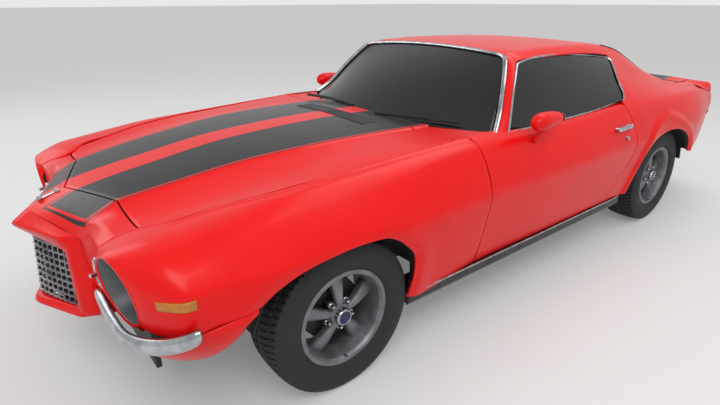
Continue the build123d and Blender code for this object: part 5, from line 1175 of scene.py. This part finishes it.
class CAR_OT_tail(bpy.types.Operator):
    """Makes the three-piece spoiler, the front valance, the mirrors and the rear side markers"""
    bl_idname = "car.tail"
    bl_label = "Spoiler, valance and mirrors"

    def execute(self, context):
        x = np.linspace(-591, 591, 101)
        top = np.interp(np.abs(x), (0, 471, 594), (897, 886, 878))
        piece("spoiler_middle", [spoiler_blade(x, top, deck_height)], "trunk_lid", "paint_tail", (0, 2290, 872),
              replaces=["spoiler_centre"], smooth_angle=50)
        # the corners end in a rounded tip over their last 39 mm
        x = np.concatenate([np.linspace(597, 728, 30), 728 + 39 * np.sin(np.linspace(0.1, 1, 16) * math.pi / 2)])
        top = np.interp(x, (594, 741), (878, 872))
        k = np.clip((x - 728) / 39.0, 0, 1)
        low = tail_height(x, 0 * x + 2340)
        top = low + 1 + (top - low - 1) * np.sqrt(np.clip(1 - k ** 2.4, 0, 1))
        end = spoiler_blade(x, top, tail_height)
        piece("spoiler_corners", [end, end * (-1, 1, 1)], "body", "red", (0, 2290, 860),
              replaces=["spoiler_ends"], smooth_angle=50, picks=[0, 0])
        # valance: a bowed sheet below the bumper from the grille shell round to the wheel opening
        a, b = curve_through(VALANCE_TOP, 90), curve_through(VALANCE_FOOT, 90)
        t = np.gradient(a, axis=0)
        t /= np.linalg.norm(t, axis=1, keepdims=True)
        n = np.stack([-t[:, 1], t[:, 0], 0 * t[:, 0]], -1)
        n *= np.sign((n * (a - (0, -1700, 450))).sum(1))[:, None]
        v = np.linspace(0, 1, 16)[None, :, None]
        sheet = between(a, b, 16) + n[:, None] * 10 * 4 * v * (1 - v)
        piece("valance_skin", [sheet, sheet * (-1, 1, 1)], "body", "red inner", (0, -1700, 450), wall=6,
              replaces=["front_valance"], picks=[0, 0])
        # rear panel: fills the quarters' end section from side to side, 7 mm hollow inside its rim
        end = on_side(QUARTER_SIDE, np.full(41, R + 1046.0), np.linspace(0, 4, 41))
        end = end[np.argsort(end[:, 2])]
        across = np.linspace(-1, 1, 61)[None]
        x = (end[:, :1] - 2) * across
        y = R + 1046 - 7 * ease((1 - np.abs(across)) / 0.06) * ease((end[:, 2:] - 452) / 25) + 0 * x
        piece("tail_panel", [np.stack([x, y, end[:, 2:] + 0 * x], -1)], "body", "red inner", (0, 2000, 650), wall=6,
              replaces=["rear_panel"])
        # mirror: a blunt bullet on a short stalk, its glass facing back
        s = np.sin(np.linspace(-1, 1, 40) * math.pi / 2)
        size = np.clip(1 - np.abs(s) ** 3, 0, 1) ** 0.5 * (1 - 0.2 * s)
        u = np.linspace(0, 2 * math.pi, 41)
        head = np.stack([902 + 42 * size[:, None] * np.cos(u), np.broadcast_to((-236 + 119 * s)[:, None], (40, 41)),
                         953 + 44 * size[:, None] * np.sin(u)], -1)
        stalk = tube(curve_through([(858, -258, 850), (872, -252, 880), (892, -240, 912), (900, -236, 935)], 14),
                     np.linspace(17, 12, 14), 16)
        glass = turned([(-117, 0.01), (-117, 20), (-119, 22), (-122, 22)], 40, (902, 0, 953), "y")
        marker = marker_lens(QUARTER_SIDE, (2222, 2300), (640, 672), (30, 12))
        for name, flip in SIDES:
            piece(f"mirror_{name}_head", [head, stalk, glass], f"door_{name}", "red chrome", (902, -236, 950),
                  picks=[0, 0, 1], mirror=flip, replaces=[f"mirror_{name}"])
            piece(f"rear_marker_{name}", [marker], "body", "ruby", (700, 2260, 655), wall=3, mirror=flip)
        return {"FINISHED"}


def spoke(angle):
    """One spoke from the hub out to the rim, rounded in section, wider and thicker outwards."""
    r = np.linspace(30, 179, 28)
    q = (r - 30) / 149
    wide = 14 + 27 * q ** 1.3
    face = 836 - 22 * q ** 1.5 + 5 * np.sin(math.pi * q)
    thick = (15 + 22 * q)[:, None]
    c, s = rounded(np.linspace(0, 2 * math.pi, 29), 0.9, 0.8)
    side = wide[:, None] * c
    return np.stack([face[:, None] - thick + thick * s, r[:, None] * math.cos(angle) - side * math.sin(angle),
                     r[:, None] * math.sin(angle) + side * math.cos(angle)], -1)


def tyre(deep):
    """A tyre round its own middle: bulged sidewall, round shoulder, and a crown cut by four grooves and
    by 70 slanted slots a turn, both as deep as given."""
    side = curve_through([(-92, 207), (-97, 211), (-106, 228), (-111, 255), (-110, 284), (-105, 305), (-98, 318)], 10)
    crown = [(x, AXLE_Z - 9 * (abs(x) / 98) ** 3) for x in np.linspace(-96, 96, 41)]
    bead = [(90, 204), (60, 200), (-60, 200), (-90, 204)]
    profile = np.concatenate([side, crown, (side * (-1, 1))[::-1], bead, side[:1]])
    w = np.linspace(0, 2 * math.pi, 491)[:, None]
    a, r = profile[None, :, 0] + 0 * w, profile[None, :, 1] + 0 * w
    place = np.arange(len(profile))
    on_crown = (place >= len(side)) & (place < len(side) + len(crown))
    grooves = (np.abs(np.abs(a) - 22) < 3.6) | (np.abs(np.abs(a) - 60) < 3.6)
    pitch = w / (2 * math.pi) * 70
    shift = np.where(np.abs(a) < 22, 0.25 * np.sin(a / 22 * 3), np.where(np.abs(a) < 60, a / 90, a / 160 + 0.5))
    slots = (np.abs(((pitch + shift) % 1) - 0.5) < 0.09) & (np.abs(a) > 8)
    r -= deep * on_crown[None] * (grooves | slots)
    shoulder = (np.abs(a) > 98) & (r > 308)
    a -= np.sign(a) * 2.5 * shoulder * (np.abs((pitch % 1) - 0.5) < 0.12)
    return np.stack([a, np.cos(w) * r, np.sin(w) * r], -1)


class CAR_OT_wheels(bpy.types.Operator):
    """Makes four deep five-spoke wheels and treaded tyres"""
    bl_idname = "car.wheels"
    bl_label = "Wheels"

    def execute(self, context):
        # barrel: flange, step and deep dish down to the inner lip
        grids = [turned(RIM[::-1], 120)]
        grids += [spoke(math.radians(90 + 72 * k)) for k in range(5)]
        # hub, the cap's ring, its disc and the brake drum
        grids += [turned([(839, 0.01), (839, 38), (836, 46), (826, 50), (800, 50), (800, 0.01)], 60),
                  turned([(834, 37), (842, 38), (856, 36), (862, 34), (864, 31), (863, 28), (860, 27), (836, 27)], 48),
                  turned([(862.5, 0.01), (862, 18), (861, 27), (840, 28)], 40),
                  turned([(745, 0.01), (745, 136), (772, 134), (775, 128), (775, 0.01)], 72)]
        nut = [(842, 0.01), (840, 6), (835, 8.5), (822, 8.5), (822, 12), (818, 15), (790, 17)]
        for k in range(5):
            angle = math.radians(126 + 72 * k)
            grids.append(turned(nut, 12, (0, 60 * math.cos(angle), 60 * math.sin(angle))))
        grids.append(tube([(852, 0, -184), (862, 0, -182), (874, 0, -180)], 3, 8))
        picks = [0] * 6 + [0, 1, 2, 3] + [1] * 5 + [4]
        middle = 772  # distance of the tyres' middles from the centre line, mm
        tread = tyre(context.scene.car_sizes.tread_depth / MM)
        for end, y in (("front", F), ("rear", R)):
            for name, flip in SIDES:
                place = np.array((0, y, AXLE_Z))
                body = f"wheel_{end}_{name}"
                piece(body, [g + place for g in grids], body, "wheel chrome blue cast_iron black", (800, y, AXLE_Z),
                      picks=picks, mirror=flip, replaces=[f"rim_{end}_{name}"])
                piece(f"tread_tyre_{end}_{name}", [tread + place + (middle, 0, 0)], body, "rubber",
                      (middle, y, AXLE_Z), mirror=flip, replaces=[f"tyre_{end}_{name}"],
                      smooth_angle=30)
        return {"FINISHED"}


class CAR_OT_trim(bpy.types.Operator):
    """Makes the sill trim, door handles and locks"""
    bl_idname = "car.trim"
    bl_label = "Trim"

    def execute(self, context):
        y = np.linspace(-1092, 782, 60)
        x = np.interp(y, (-1092, -1000, 700, 782), (866, 874, 874, 868))
        sill = tube(np.stack([x, y, np.full(60, 305.0)], -1), 4.5, 8)
        # handle: a rounded flap on two feet, and a lock below it
        s = np.linspace(-1, 1, 40)[:, None]
        w = np.linspace(0, 2 * math.pi, 21)
        fat = np.sqrt(np.clip(1 - s ** 10, 0, 1))
        flap = np.stack([921 + 5 * fat * np.cos(w), 585 + 88 * s + 0 * w, 795 + 15 * fat * np.sin(w)], -1)
        foot = [(918, 0.01), (918, 9), (895, 10), (895, 0.01)]
        lock = [(934, 0.01), (934, 9), (931, 12), (912, 12), (912, 0.01)]
        feet = [turned(foot, 20, (0, place, 792)) for place in (512, 658)]
        handle = [flap, *feet, turned(lock, 24, (0, 625, 726))]
        for name, flip in SIDES:
            piece(f"sill_trim_{name}", [sill], "body", "chrome", (870, 0, 304), mirror=flip)
            piece(f"door_handle_{name}", handle, f"door_{name}", "chrome", (915, 600, 780), picks=[0] * 4,
                  mirror=flip)
        return {"FINISHED"}


def seen_rays(tree, *rays):
    """1 where a ray is of either kind, else 0."""
    path = add(tree, "ShaderNodeLightPath")
    return add(tree, "ShaderNodeMath", {k: path.outputs[ray] for k, ray in enumerate(rays)},
               operation="MAXIMUM").outputs[0]


class CAR_OT_stage(bpy.types.Operator):
    """Makes the floor, soft studio light and the camera at the photograph's angle"""
    bl_idname = "car.stage"
    bl_label = "Studio"

    def execute(self, context):
        scene, s = context.scene, context.scene.studio
        # floor: pale and matt, a little lighter to the camera and in reflections
        m = bpy.data.materials.new("pale_studio_floor")
        t = empty_tree(m)
        base = add(t, "ShaderNodeBsdfPrincipled", {"Base Color": (*s.floor, 1), "Roughness": 0.7})
        lit = add(t, "ShaderNodeEmission", {"Color": (1, 1, 1, 1), "Strength": 0.16})
        both = add(t, "ShaderNodeAddShader", {0: base.outputs[0], 1: lit.outputs[0]})
        mix = add(t, "ShaderNodeMixShader", {0: seen_rays(t, "Is Camera Ray", "Is Glossy Ray"), 1: base.outputs[0],
                                             2: both.outputs[0]})
        add(t, "ShaderNodeOutputMaterial", {"Surface": mix.outputs[0]})
        reach = np.linspace(-FLOOR_REACH, FLOOR_REACH, 9)
        x, y = np.meshgrid(reach, reach, indexing="ij")
        mesh = bpy.data.meshes.new("studio_floor")
        points, faces = weld([np.stack([x, y, 0 * x], -1)])
        mesh.from_pydata((points * MM).tolist(), [], turned_out(points, faces, (0, 0, -1000)).tolist())
        mesh.materials.append(m)
        floor = bpy.data.objects.new("studio_floor", mesh)
        scene.collection.objects.link(floor)
        world = bpy.data.worlds.new("soft_studio")
        t = empty_tree(world)
        soft = add(t, "ShaderNodeBackground", {"Color": (1, 1, 1, 1), "Strength": s.world})
        shown = add(t, "ShaderNodeBackground", {"Color": (0.9, 0.9, 0.9, 1), "Strength": 0.9})
        mix = add(t, "ShaderNodeMixShader", {0: seen_rays(t, "Is Camera Ray", "Is Transmission Ray"),
                                             1: soft.outputs[0], 2: shown.outputs[0]})
        add(t, "ShaderNodeOutputWorld", {"Surface": mix.outputs[0]})
        scene.world = world
        for name, place, look, size, power in SOFTBOXES:
            light = bpy.data.lights.new(name, "AREA")
            light.shape, light.size, light.size_y, light.energy = "RECTANGLE", *size, power
            lamp = bpy.data.objects.new(name, light)
            scene.collection.objects.link(lamp)
            lamp.location = place
            dx, dy, dz = np.array(look) - np.array(place)
            lamp.rotation_euler = (math.atan2(math.hypot(dx, dy), -dz), 0, math.atan2(dy, dx) - math.pi / 2)
        camera = bpy.data.objects.new("camera", bpy.data.cameras.new("camera"))
        scene.collection.objects.link(camera)
        camera.data.lens, camera.data.sensor_width = 25.0, 36.0
        camera.data.clip_start, camera.data.clip_end = 0.05, 400
        around, down, roll = (math.radians(a) for a in CAMERA_TURNS)
        camera.location = CAMERA_PLACE
        camera.rotation_euler = (math.pi / 2 - down, roll, around)
        scene.camera = camera
        scene.view_settings.view_transform = "Standard"
        return {"FINISHED"}


class CAR_PT_panel(bpy.types.Panel):
    """Buttons that make the car's pieces, with its sizes and colours"""
    bl_idname = "CAR_PT_panel"
    bl_label = "Muscle car"
    bl_space_type = "VIEW_3D"
    bl_region_type = "UI"
    bl_category = "Car"

    def draw(self, context):
        for group in (context.scene.car_colours, context.scene.car_sizes, context.scene.studio):
            for key in group.bl_rna.properties.keys():
                if key not in ("rna_type", "name"):
                    self.layout.prop(group, key)
        for op in OPERATORS:
            self.layout.operator(op.bl_idname)


OPERATORS = (CAR_OT_stage, CAR_OT_materials, CAR_OT_sides, CAR_OT_hood, CAR_OT_nose, CAR_OT_lamps, CAR_OT_bumpers,
             CAR_OT_roof, CAR_OT_wheels, CAR_OT_trim, CAR_OT_seats, CAR_OT_tail)
CLASSES = (CarColours, CarSizes, StudioSettings, *OPERATORS, CAR_PT_panel)


def register():
    for c in CLASSES:
        bpy.utils.register_class(c)
    bpy.types.Scene.car_colours = bpy.props.PointerProperty(type=CarColours)
    bpy.types.Scene.car_sizes = bpy.props.PointerProperty(type=CarSizes)
    bpy.types.Scene.studio = bpy.props.PointerProperty(type=StudioSettings)


def unregister():
    for key in ("car_colours", "car_sizes", "studio"):
        delattr(bpy.types.Scene, key)
    for c in reversed(CLASSES):
        bpy.utils.unregister_class(c)


def main():
    register()
    for op in OPERATORS:
        group, name = op.bl_idname.split(".")
        getattr(getattr(bpy.ops, group), name)()


if __name__ == "__main__":
    main()
